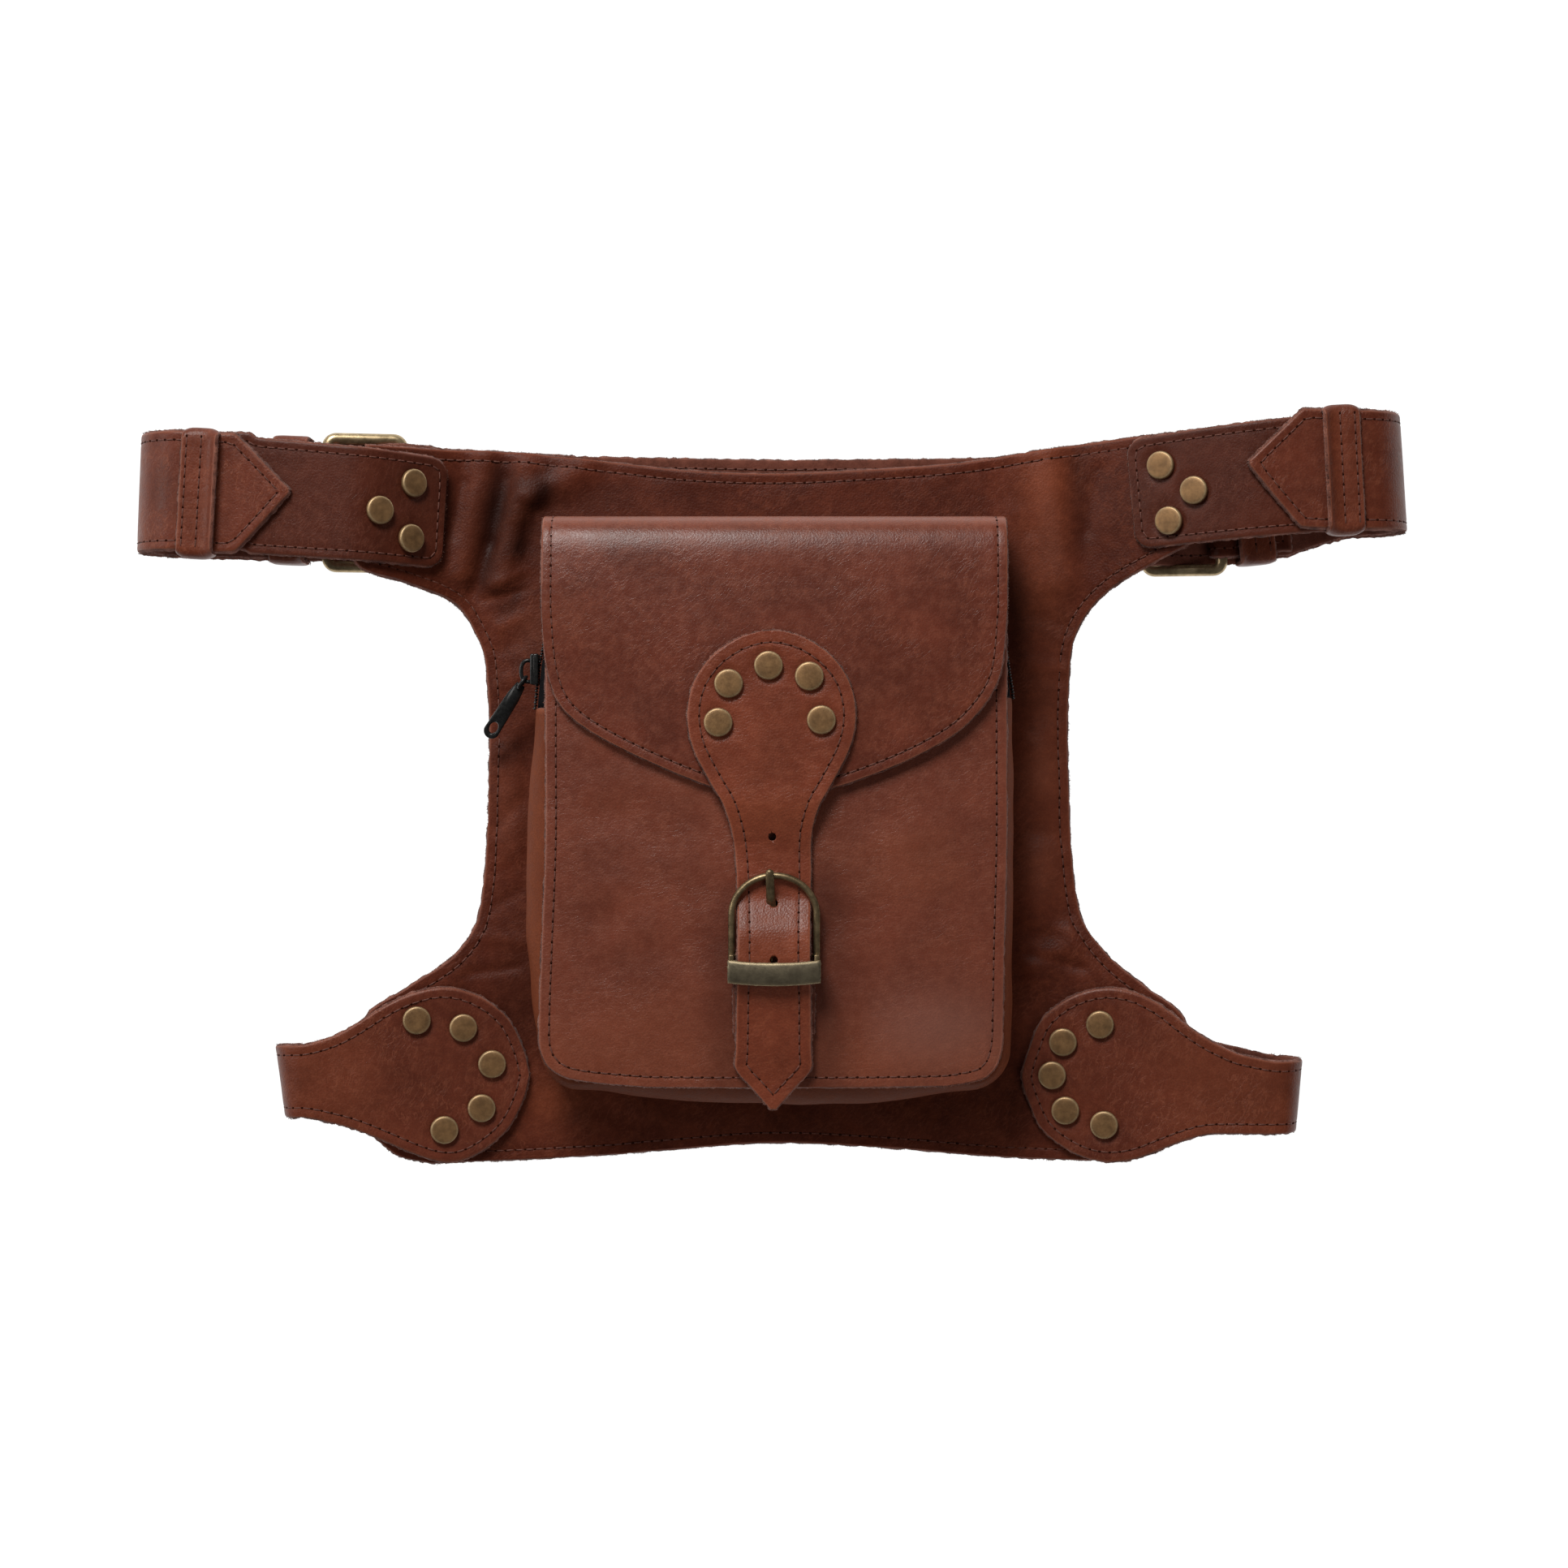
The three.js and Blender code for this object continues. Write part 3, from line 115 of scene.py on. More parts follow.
room = bpy.data.worlds.new("dim_room")
room.use_nodes = True
join(room.node_tree, room.node_tree.nodes["Background"], {
    "Color": (1.0, 1.0, 1.0, 1.0), "Strength": ROOM_GLOW,
})
bpy.context.scene.world = room
softbox("key_light", (-0.36, 1.05, 1.0), 0.55, 21.5, (1.0, 0.98, 0.95))
softbox("left_light", (-1.3, 0.3, 0.75), 0.5, 4.5, (1.0, 0.97, 0.93))
fill_light = softbox("fill_light", (0.6, -0.7, 1.2), 1.0, 5.0, (1.0, 0.98, 0.97))
fill_light.visible_glossy = False

# Back panel
# One bone-shaped piece of thick brown hide that carries everything else. It is cut with a knife, so its
# edges stay raw, sewn round its rim with brown thread, and pulled into folds where the straps tug at it.
MM = 0.001
SET_DOWN = np.array([-0.008, 0.672, 0.0])
PANEL_THICK = 2.4
PANEL_BASE = 3.95
PANEL_SEAM = 3.1
STITCH = 3.3
STITCH_CLEAR = 0.2
THREAD_RADIUS = 0.25
GROOVE = {"depth": 0.16, "width": 0.6, "gathers": 2.4}
SEAM_STEP = 0.5
DENT = {"depth": 0.5, "radius": 4.3, "slope": 2.6}
EDGE = {"thinned": 0.16, "reach": 0.3, "worn": 0.35, "ragged": 0.13}
FIBRES = {"per_mm": 8.0, "length": 0.16, "longer": 0.2, "lean": 0.95, "root": 0.12}
WINGS = {
    "upper_left": {"start": 96, "run": 42, "rise": 22},
    "upper_right": {"start": 96, "run": 68, "rise": 22},
    "lower_left": {"start": 71, "run": 79, "rise": 10.1},
    "lower_right": {"start": 70, "run": 90, "rise": 10.1},
}
# Folds, creases and painted fold shading share these columns. A shading row's height is its change of tone.
FOLD_COLUMNS = ("x0", "y0", "x1", "y1", "width", "height")
SLACK = 0.75
FOLDS = [
    (-95, 108, -102, 70, 4.6, 3.2),
    (-81, 105, -90, 68, 4.8, 3.4),
    (-62, 105, -79, 93, 5.0, 2.4),
    (92, 108, 96, 68, 6.5, 2.4),
    (-88, 8, -86, -20, 6.0, 1.8),
    (89, 14, 90, 0, 6.0, 2.0),
    (89, -24, 88, -40, 6.0, 2.0),
    (-60, -112, -50, -118, 5.0, 1.4),
    (86, -60, 98, -52, 5.0, 1.8),
]
# Each row is a line across the panel: left x and y, right x and y, shares of the top and bottom edges.
PANEL_ROWS = np.array([
    (-112, -124.0, 116, -123.4, 0, 1),
    (-124, -120.4, 127, -119.0, 0, 0.8),
    (-134.5, -107, 138, -107, 0, 0.5),
    (-133.5, -77, 135, -77, 0, 0),
    (-119.5, -66.4, 122.5, -66.4, 0, 0),
    (-104, -55.7, 110, -55.7, 0, 0),
    (-96.4, -42, 101.2, -42, 0, 0),
    (-93.2, 5, 97.4, 5, 0, 0),
    (-94.4, 40.5, 98.2, 40.5, 0, 0),
    (-98.2, 51.2, 100.6, 51.2, 0, 0),
    (-104.8, 60.3, 106.5, 60.3, 0, 0),
    (-119, 66.2, 115.4, 67.6, 0.1, 0),
    (-134.0, 71.4, 127.4, 74.4, 0.3, 0),
    (-133.2, 84.5, 139.4, 82.5, 0.5, 0),
    (-132.2, 98, 140.6, 100, 0.8, 0),
    (-131.2, 110.0, 140.8, 115.6, 1, 0),
])
TOP_EDGE = [
    (-132, 110.2), (-92, 110.0), (-56, 106.9), (-28, 103.9), (0, 102.9),
    (28, 103.9), (62, 106.3), (90, 110.6), (118, 114.0), (141, 115.6),
]
BOTTOM_EDGE = [
    (-112, -124.0), (-75, -123.0), (-40, -120.6), (0, -117.8), (40, -119.6), (75, -122.4), (116, -123.4),
]
CREASES = [
    (-87, 101, -93, 80, 2.2, -0.9),
    (-93, 80, -99, 64, 2.4, -0.8),
    (-102, 100, -106, 82, 2.0, -0.6),
    (-72, 96, -80, 79, 2.2, -1.0),
    (-77, 100, -84, 88, 2.0, 0.6),
    (-76, 74, -92, 66, 1.6, 0.5),
    (-76, 66, -96, 61, 1.3, -0.5),
    (-77, 58, -90, 52, 1.8, 0.8),
    (-77, 50, -91, 44, 1.4, -0.5),
    (-80, 38, -91, 33, 1.5, 0.5),
    (-79, -2, -90, -12, 2.2, -0.7),
    (-81, -34, -92, -40, 1.8, -0.5),
    (-82, -52, -96, -50, 1.6, 0.6),
    (-84, -60, -100, -62, 1.5, -0.6),
    (80, 58, 98, 52, 1.8, -0.6),
    (81, 41, 97, 38, 1.3, 0.7),
    (81, 36, 96, 35, 1.2, -0.5),
    (82, 20, 95, 12, 1.8, -0.5),
    (83, -14, 96, -18, 1.8, -0.7),
    (82, -44, 98, -48, 1.6, 0.6),
    (84, -56, 102, -60, 1.6, -0.7),
    (72, 104, 84, 84, 3.0, -0.8),
    (108, 104, 104, 84, 2.6, -0.7),
    (-40, -106, -30, -117, 2.4, 0.5),
    (20, -105, 34, -116, 2.4, -0.5),
    (62, -104, 76, -118, 2.6, 0.6),
]
# Painted highlights along fold ridges (above 0) and painted shade in fold valleys and on slopes turned away
# from the light (below 0).
PAINTED_FOLD_SHADING = [
    (-98, 100, -103, 76, 3.6, 0.08),
    (-90, 104, -95, 68, 4.6, -0.6),
    (-81, 100, -88, 80, 3.2, 0.12),
    (-75, 97, -83, 78, 4.0, -0.66),
    (-62, 103, -73, 96, 3.2, 0.14),
    (-108, 99, -110, 76, 3.6, -0.4),
    (-72, 106, -82, 99, 2.4, -0.3),
    (-79, 68, -88, 58, 2.8, -0.4),
    (88, 104, 93, 76, 4.0, 0.08),
    (101, 106, 103, 78, 4.0, -0.35),
]
TONE_COLUMNS = ("x", "y", "reach x", "reach y", "pull", "painted_light")
# Rows with painted light below 0 are painted shade: the pocket's shadow beside and below it, and slopes
# turned away from the light. Rows above 0 are painted highlights on fold ridges and beside the flap's edge,
# where their pull adds stretched warmth too.
PANEL_PULL_AND_PAINTED_LIGHT = [
    (-66, 95, 26, 9, 0, -0.42),
    (-100, 84, 18, 16, 0, -0.34),
    (-83, 80, 7, 16, 0, -0.25),
    (60, 97, 30, 8, 0, -0.12),
    (80, 54, 4.5, 26, 0, -0.5),
    (-79, 52, 7, 9, 0.1, 0.12),
    (-84, -62, 14, 22, 0, -0.3),
    (-72, -104, 10, 8, 0.5, 0),
    (-88, -8, 6, 16, 0.15, 0.06),
    (91, 8, 8, 40, 0.3, 0.05),
    (87, 3, 6, 8, 0.2, 0.1),
    (87, -27, 6, 9, 0.2, 0.1),
    (92, 100, 8, 6, 0.3, 0.06),
    (30, -112, 60, 12, 0, -0.2),
]
dice = np.random.default_rng(11)


def ease(value):
    """0 to 1 with a soft start and a soft end."""
    t = np.clip(value, 0, 1)
    return t * t * (3 - 2 * t)


def mix(a, b, t):
    """From a to b by a share."""
    return a + (b - a) * t


def unit(vectors):
    """Vectors with their lengths made 1."""
    return vectors / np.maximum(np.linalg.norm(vectors, axis=-1, keepdims=True), 1e-9)


def curve(rows):
    """A smooth function through (place, value) rows, level with the chord of each row's neighbours."""
    places, values = np.array(sorted(rows), float).T
    slopes = np.empty_like(values)
    slopes[1:-1] = (values[2:] - values[:-2]) / (places[2:] - places[:-2])
    slopes[0] = (values[1] - values[0]) / (places[1] - places[0])
    slopes[-1] = (values[-1] - values[-2]) / (places[-1] - places[-2])

    def at(place):
        place = np.clip(np.asarray(place, float), places[0], places[-1])
        i = np.clip(np.searchsorted(places, place, "right") - 1, 0, len(places) - 2)
        run = places[i + 1] - places[i]
        rise = values[i + 1] - values[i]
        t = (place - places[i]) / run
        bend = (1 - t) * (slopes[i] * run - rise) - t * (slopes[i + 1] * run - rise)
        return values[i] + rise * t + t * (1 - t) * bend

    return at


def spread(count, crowd):
    """Shares from 0 to 1 that crowd towards both ends, where edges and seams need fine cells."""
    even = np.linspace(0, 1, count)
    return even - crowd * np.sin(2 * np.pi * even) / (2 * np.pi)


def rail(rows, steps):
    """A table's columns as smooth lines, one row for each share in steps of the way along it."""
    way = np.concatenate([[0], np.cumsum(steps)])
    way = way / way[-1]
    lines = [curve(list(zip(way, column))) for column in rows.T]

    def at(shares):
        return np.stack([line(shares) for line in lines], axis=-1)

    return at


def walk(line, spacing):
    """An open line of points again, at even steps of about the spacing."""
    steps = np.linalg.norm(np.diff(line, axis=0), axis=1)
    way = np.concatenate([[0], np.cumsum(steps)])
    count = max(2, int(round(way[-1] / spacing)) + 1)
    places = np.linspace(0, way[-1], count)
    return np.stack([np.interp(places, way, column) for column in line.T], axis=-1)


class Pile:
    """Vertices and faces of one piece, gathered from its sheet, its frayed fibres and its stitches."""

    def __init__(self):
        self.points = []
        self.faces = []
        self.skins = []
        self.count = 0

    def add(self, points, faces, skin):
        """More points, and faces between them that all wear one skin."""
        points = np.asarray(points, float).reshape(-1, 3)
        self.points.append(points)
        for face in faces.tolist() if isinstance(faces, np.ndarray) else faces:
            self.faces.append([index + self.count for index in face])
        self.skins.extend([skin] * len(faces))
        self.count += len(points)

    def mesh(self, name):
        """The pile as a smooth mesh in metres, in the frame's place."""
        made = bpy.data.meshes.new(name)
        made.from_pydata(((np.concatenate(self.points) + SET_DOWN) * MM).tolist(), [], self.faces)
        made.polygons.foreach_set("material_index", np.array(self.skins, np.int32))
        made.polygons.foreach_set("use_smooth", np.ones(len(self.faces), bool))
        return made


GRAIN, FLESH, RAW, THREAD, NEEDLE = range(5)


def copies(pile, shape, faces, origins, along, up, lengths, skin):
    """Copies of a small closed shape, each at an origin, turned to its own directions."""
    side = unit(np.cross(up, along))
    up = unit(np.cross(along, side))
    reach = shape[None, :, :1] * lengths[:, None, None] * along[:, None, :]
    placed = origins[:, None, :] + reach + shape[None, :, 1:2] * side[:, None, :]
    placed = placed + shape[None, :, 2:] * up[:, None, :]
    count = len(shape)
    every = [[index + i * count for index in face] for i in range(len(origins)) for face in faces]
    pile.add(placed, every, skin)


def circle(count):
    """Evenly spaced turns once round."""
    return np.arange(count) * math.tau / count


def band_faces(rings, sides, closed=False):
    """Faces that join each ring of points to the next one, and the last to the first if closed."""
    faces = []
    for i in range(rings if closed else rings - 1):
        here, there = sides * i, sides * ((i + 1) % rings)
        for k in range(sides):
            ahead = (k + 1) % sides
            faces.append((here + k, here + ahead, there + ahead, there + k))
    return faces


def thread_shape():
    """One stitch as a soft arched bar of length 1 that dips into the hide at both ends."""
    places = np.array([0.0, 0.14, 0.36, 0.64, 0.86, 1.0])
    heights = np.array([-0.32, -0.06, 0.05, 0.05, -0.06, -0.32])
    radii = np.array([0.62, 0.95, 1.0, 1.0, 0.95, 0.62]) * THREAD_RADIUS
    rings = [
        (place, radius * math.cos(turn), height + radius * math.sin(turn))
        for place, height, radius in zip(places, heights, radii) for turn in circle(6)
    ]
    return np.array(rings), [tuple(range(6)), *band_faces(6, 6), tuple(range(35, 29, -1))]


def needle_shape():
    """A needle hole as a shallow lens that carries painted shade for the hole's shadowed inside."""
    ring = [(0.52 * math.cos(turn), 0.4 * math.sin(turn), 0.0) for turn in circle(8)]
    faces = [(k, (k + 1) % 8, 8) for k in range(8)] + [((k + 1) % 8, k, 9) for k in range(8)]
    return np.array([*ring, (0, 0, 0.08), (0, 0, -0.3)]), faces


def sew(pile, line, normals):
    """Stitches along a line of points on the surface."""
    whole = walk(np.hstack([line, normals]), STITCH)
    holes, up = whole[:, :3], unit(whole[:, 3:])
    if len(holes) < 3:
        return
    chords = holes[1:] - holes[:-1]
    lengths = np.linalg.norm(chords, axis=1)
    along = unit(chords)
    shape, faces = thread_shape()
    starts = holes[:-1] + along * STITCH_CLEAR
    copies(pile, shape, faces, starts, along, up[:-1], lengths - 2 * STITCH_CLEAR, THREAD)
    shape, faces = needle_shape()
    ones = np.ones(len(holes) - 1)
    copies(pile, shape, faces, holes[:-1], along, up[:-1], ones, NEEDLE)


def outline_of(rows, columns, loop):
    """The grid places round a sheet's edge: one ring, or two for a sheet that closes on itself."""
    if loop:
        ring = np.arange(rows)
        return [(ring, np.zeros(rows, int)), (ring, np.full(rows, columns - 1))]
    down = np.arange(rows - 1)
    right = np.arange(columns - 1)
    i = np.concatenate([np.zeros(columns - 1, int), down, np.full(columns - 1, rows - 1), rows - 1 - down])
    j = np.concatenate([right, np.full(rows - 1, columns - 1), columns - 1 - right, np.zeros(rows - 1, int)])
    return [(i, j)]


def tree_of(points):
    """A search tree that finds the nearest of many points."""
    made = KDTree(len(points))
    for index, point in enumerate(points):
        made.insert(point, index)
    made.balance()
    return made


def from_ends(middle, axis):
    """How far each point of a grid is from the nearer end of its row or column."""
    step = np.linalg.norm(np.diff(middle, axis=axis), axis=-1)
    start = np.zeros_like(np.take(step, [0], axis))
    way = np.concatenate([start, np.cumsum(step, axis)], axis)
    return np.minimum(way, np.take(way, [-1], axis) - way)


def rims(middle, normal, loop):
    """A sheet's edges: their grid places, their points and the directions that lead off the sheet."""
    rows, columns = middle.shape[:2]
    made = []
    for i, j in outline_of(rows, columns, loop):
        edge = middle[i, j]
        inner = middle[i if loop else np.clip(i, 1, rows - 2), np.clip(j, 1, columns - 2)]
        out = unit(np.cross(np.roll(edge, -1, 0) - np.roll(edge, 1, 0), normal[i, j]))
        out *= np.sign(np.sum(out * (edge - inner)))
        made.append((i, j, edge, out))
    return made


def seam_runs(edge, out, seam, sewn):
    """The stretches of a line at one distance from an edge that come nearer to no other part of it."""
    line = edge - out * seam
    apart = np.linalg.norm(line[:, None, :] - edge[None, :, :], axis=2).min(axis=1)
    kept = apart > 0.96 * seam
    if sewn is not None:
        kept &= sewn(line)
    start = int(np.argmin(kept)) if not kept.all() else 0
    line, kept = np.roll(line, -start, 0), np.roll(kept, -start)
    breaks = np.flatnonzero(np.linalg.norm(np.diff(line[kept], axis=0), axis=1) > 2.2 * seam)
    return [walk(run, SEAM_STEP) for run in np.split(line[kept], breaks + 1) if len(run) > 3]


def settle(line, nearby, points, normals):
    """A line's points moved onto a sheet's middle, with the sheet's normals there."""
    nearest = np.array([nearby.find(point)[1] for point in line])
    up = normals[nearest]
    away = np.sum((line - points[nearest]) * up, axis=1, keepdims=True)
    return line - away * up, up


def drawn_in(points, seams, pucker):
    """How far stitches draw a sheet in at its points: a groove along each seam, and gathers beside it."""
    nearby = tree_of(np.concatenate([line for line, _ in seams]))
    phase = np.concatenate([np.arange(len(line)) * SEAM_STEP / STITCH for line, _ in seams])
    nearest, away = np.array([nearby.find(point)[1:] for point in points]).T
    gathers = np.cos(math.tau * phase[nearest.astype(int)])
    groove = GROOVE["depth"] * np.exp(-(away / GROOVE["width"]) ** 2)
    return groove + pucker * gathers * np.exp(-(away / GROOVE["gathers"]) ** 2)


def fray_edge(pile, belly, edge, out, up, thick, fray):
    """Loose fibres that stand out of a raw edge, in tufts."""
    steps = np.linalg.norm(np.roll(edge, -1, 0) - edge, axis=1)
    count = int(steps.sum() * FIBRES["per_mm"] * fray)
    if not count:
        return
    at = dice.choice(len(edge), count, p=steps / steps.sum())
    base = mix(belly[at], np.roll(belly, -1, 0)[at], dice.random((count, 1)))
    base = base + up[at] * dice.uniform(-0.42, 0.46, (count, 1)) * thick - out[at] * FIBRES["root"]
    lean = unit(out[at] + dice.normal(0, FIBRES["lean"], (count, 3)))
    tuft = 0.5 + 0.9 * (np.sin(at * 0.37) * np.sin(at * 0.113 + 1.3)) ** 2
    lengths = (FIBRES["length"] + np.abs(dice.normal(0, FIBRES["longer"], count))) * tuft
    fibre = np.array([(0, 0.13, 0), (0, -0.07, 0.11), (0, -0.07, -0.11), (1, 0.08, 0.13)])
    corners = [(0, 2, 1), (0, 1, 3), (1, 2, 3), (2, 0, 3)]
    copies(pile, fibre, corners, base, lean, up[at], lengths, RAW)


def lift_at(point, nearby, lift):
    """How far a sheet is raised at a point, from the four grid points round it."""
    close = nearby.find_n(point, 4)
    shares = [1 / (gap + 0.05) for _, _, gap in close]
    return np.average([lift[index] for _, index, _ in close], weights=shares)


def mark(mesh, label, values):
    """One number for each point of a mesh, which its material reads."""
    mesh.attributes.new(label, "FLOAT", "POINT").data.foreach_set("value", values.astype(np.float32))


def turn_outwards(mesh, more=None):
    """A mesh with its faces turned outwards, and with another mesh's faces added to it."""
    body = bmesh.new()
    body.from_mesh(mesh)
    if more:
        body.from_mesh(more)
    bmesh.ops.recalc_face_normals(body, faces=body.faces)
    body.to_mesh(mesh)
    body.free()


def hide(name, middle, thick, skins, grain=1, loop=False, seam=None, sewn=None, lines=(), relief=0.0,
         pull=0.0, dents=(), fray=1.0, punched=(), pucker=0.05, painted_light=0.0, bevel=0.3, both_sides=False):
    """A leather piece from a grid of points on its middle surface: grain side, flesh side, raw edges with
    loose fibres, stitches at the seam's distance from its edge, dents under rivets and punched holes."""
    rows, columns = middle.shape[:2]
    whole = rows * columns
    along = np.roll(middle, -1, 0) - np.roll(middle, 1, 0) if loop else np.gradient(middle, axis=0)
    normal = grain * unit(np.cross(along, np.gradient(middle, axis=1)))
    points, normals = middle.reshape(-1, 3), normal.reshape(-1, 3)
    nearby = tree_of(points)
    edges = rims(middle, normal, loop)
    runs = []
    if seam is not None:
        runs = [run for _, _, edge, out in edges for run in seam_runs(edge, out, seam, sewn)]
    runs += [walk(np.asarray(line, float), SEAM_STEP) for line in lines]
    seams = [settle(run, nearby, points, normals) for run in runs]

    lift = np.zeros((rows, columns)) + relief
    if seams:
        lift -= drawn_in(points, seams, pucker).reshape(rows, columns)
    for dent in dents:
        away = np.linalg.norm(middle - np.array(dent), axis=2)
        lift -= DENT["depth"] * (1 - ease((away - DENT["radius"]) / DENT["slope"]))
    inset = from_ends(middle, 1) if loop else np.minimum(from_ends(middle, 0), from_ends(middle, 1))
    rounded = thick / 2 * (1 - EDGE["thinned"] * np.exp(-(inset / EDGE["reach"]) ** 2))
    top = middle + normal * (rounded + lift)[..., None]
    low = middle - normal * rounded[..., None]
    for i, j, edge, out in edges:
        low[i, j] += out * 0.5 * bevel

    number = np.arange(whole).reshape(rows, columns)
    if loop:
        number = np.vstack([number, number[:1]])
    corners = [number[:-1, :-1], number[1:, :-1], number[1:, 1:], number[:-1, 1:]]
    cells = np.stack(corners, axis=-1).reshape(-1, 4)
    sheet, extras = Pile(), Pile()
    sheet.add(top, cells, GRAIN)
    sheet.add(low, cells[:, ::-1], FLESH)
    for i, j, edge, out in edges:
        ragged = dice.normal(0, EDGE["ragged"], len(edge))[:, None]
        belly = edge + out * (0.1 * thick + bevel + ragged) - normal[i, j] * 0.6 * bevel
        ring = np.arange(len(edge)) + sheet.count
        sheet.add(belly, [], RAW)
        upper = i * columns + j
        for one, two in ((upper, ring), (ring, upper + whole)):
            strip = np.stack([one, np.roll(one, -1), np.roll(two, -1), two], axis=-1)
            sheet.faces.extend(strip.tolist())
            sheet.skins.extend([RAW] * len(strip))
        fray_edge(extras, belly, edge, out, normal[i, j], thick, fray)
    for line, up in seams:
        raised = np.array([lift_at(point, nearby, lift.ravel()) for point in line])
        sew(extras, line + up * (thick / 2 + raised)[:, None], up)
        if both_sides:
            sew(extras, line - up * thick / 2, -up)

    made = sheet.mesh(name)
    for skin in skins:
        made.materials.append(skin)
    worn = np.exp(-(inset / EDGE["worn"]) ** 2)
    # The painted_light mark holds painted highlights above 0 and painted shade below 0, which the leather
    # material mixes into its colour.
    for label, values, elsewhere in (("pull", pull, 0), ("worn", worn, 1), ("painted_light", painted_light, 0)):
        marks = np.full(sheet.count, float(elsewhere))
        marks[:whole] = (np.zeros((rows, columns)) + values).ravel()
        mark(made, label, marks)
    piece = bpy.data.objects.new(name, made)
    bpy.context.scene.collection.objects.link(piece)
    for place, way, radius in punched:
        punch(piece, place, way, radius)
    loose = extras.mesh(name + "_loose") if extras.count else None
    turn_outwards(piece.data, loose)
    if loose:
        bpy.data.meshes.remove(loose)
    return piece


def punch(piece, place, way, radius):
    """A round hole through a piece, cut with a fine drill-shaped block."""
    ring = [(radius * math.cos(turn), radius * math.sin(turn)) for turn in circle(20)]
    tool = bpy.data.meshes.new("punch")
    points = [(x * MM, y * MM, z * MM) for z in (-6, 6) for x, y in ring]
    tool.from_pydata(points, [], [*band_faces(2, 20), tuple(range(19, -1, -1)), tuple(range(20, 40))])
    for skin in piece.data.materials:
        tool.materials.append(skin)
    tool.polygons.foreach_set("material_index", np.full(22, RAW, np.int32))
    cutter = bpy.data.objects.new("punch", tool)
    bpy.context.scene.collection.objects.link(cutter)
    cutter.location = Vector((np.asarray(place) + SET_DOWN) * MM)
    cutter.rotation_euler = Vector(way).to_track_quat("Z", "Y").to_euler()
    cut = piece.modifiers.new("punch", "BOOLEAN")
    cut.operation = "DIFFERENCE"
    cut.solver = "EXACT"
    cut.object = cutter
    bpy.context.view_layer.update()
    seen = piece.evaluated_get(bpy.context.evaluated_depsgraph_get())
    done = bpy.data.meshes.new_from_object(seen)
    piece.modifiers.clear()
    piece.data = done
    bpy.data.objects.remove(cutter)


def millimetres(tree, turn=(0.0, 0.0, 0.0)):
    """Places on a piece in millimetres, turned by angles in radians, as a socket."""
    return put(tree, "ShaderNodeMapping", {
        "Vector": put(tree, "ShaderNodeTexCoord").outputs["Object"],
        "Rotation": turn, "Scale": (1000, 1000, 1000),
    }).outputs["Vector"]


def cloudy(tree, place, scale, detail=2.0, roughness=0.5, distortion=0.0):
    """A noise from 0 to 1, with about so many spots in a millimetre."""
    return put(tree, "ShaderNodeTexNoise", {
        "Vector": place, "Scale": scale, "Detail": detail, "Roughness": roughness, "Distortion": distortion,
    }).outputs["Fac"]


def ramp(tree, value, start, stop, low=0.0, high=1.0):
    """A value that goes from low to high while another goes from start to stop."""
    return put(tree, "ShaderNodeMapRange", {
        "Value": value, "From Min": start, "From Max": stop, "To Min": low, "To Max": high,
    }).outputs["Result"]


def reckon(tree, operation, one, two=0.0, clamp=False):
    """One step of arithmetic with sockets or numbers."""
    return put(tree, "ShaderNodeMath", {0: one, 1: two}, operation=operation, use_clamp=clamp).outputs[0]


def blend(tree, share, one, two, way="MIX"):
    """Two colours mixed by a share."""
    return put(tree, "ShaderNodeMix", {0: share, 6: one, 7: two}, data_type="RGBA", blend_type=way).outputs[2]


def emboss(tree, height, strength, distance):
    """Relief too fine for the mesh, as a normal."""
    return put(tree, "ShaderNodeBump", {
        "Height": height, "Strength": strength, "Distance": distance,
    }).outputs["Normal"]


def marked(tree, label):
    """The number that a mesh carries at each point under a label."""
    return put(tree, "ShaderNodeAttribute", attribute_name=label).outputs["Fac"]


def tint(colour, red, green, blue):
    """A colour with its three parts made stronger or weaker, as a shader takes it."""
    return (colour[0] * red, colour[1] * green, colour[2] * blue, 1.0)


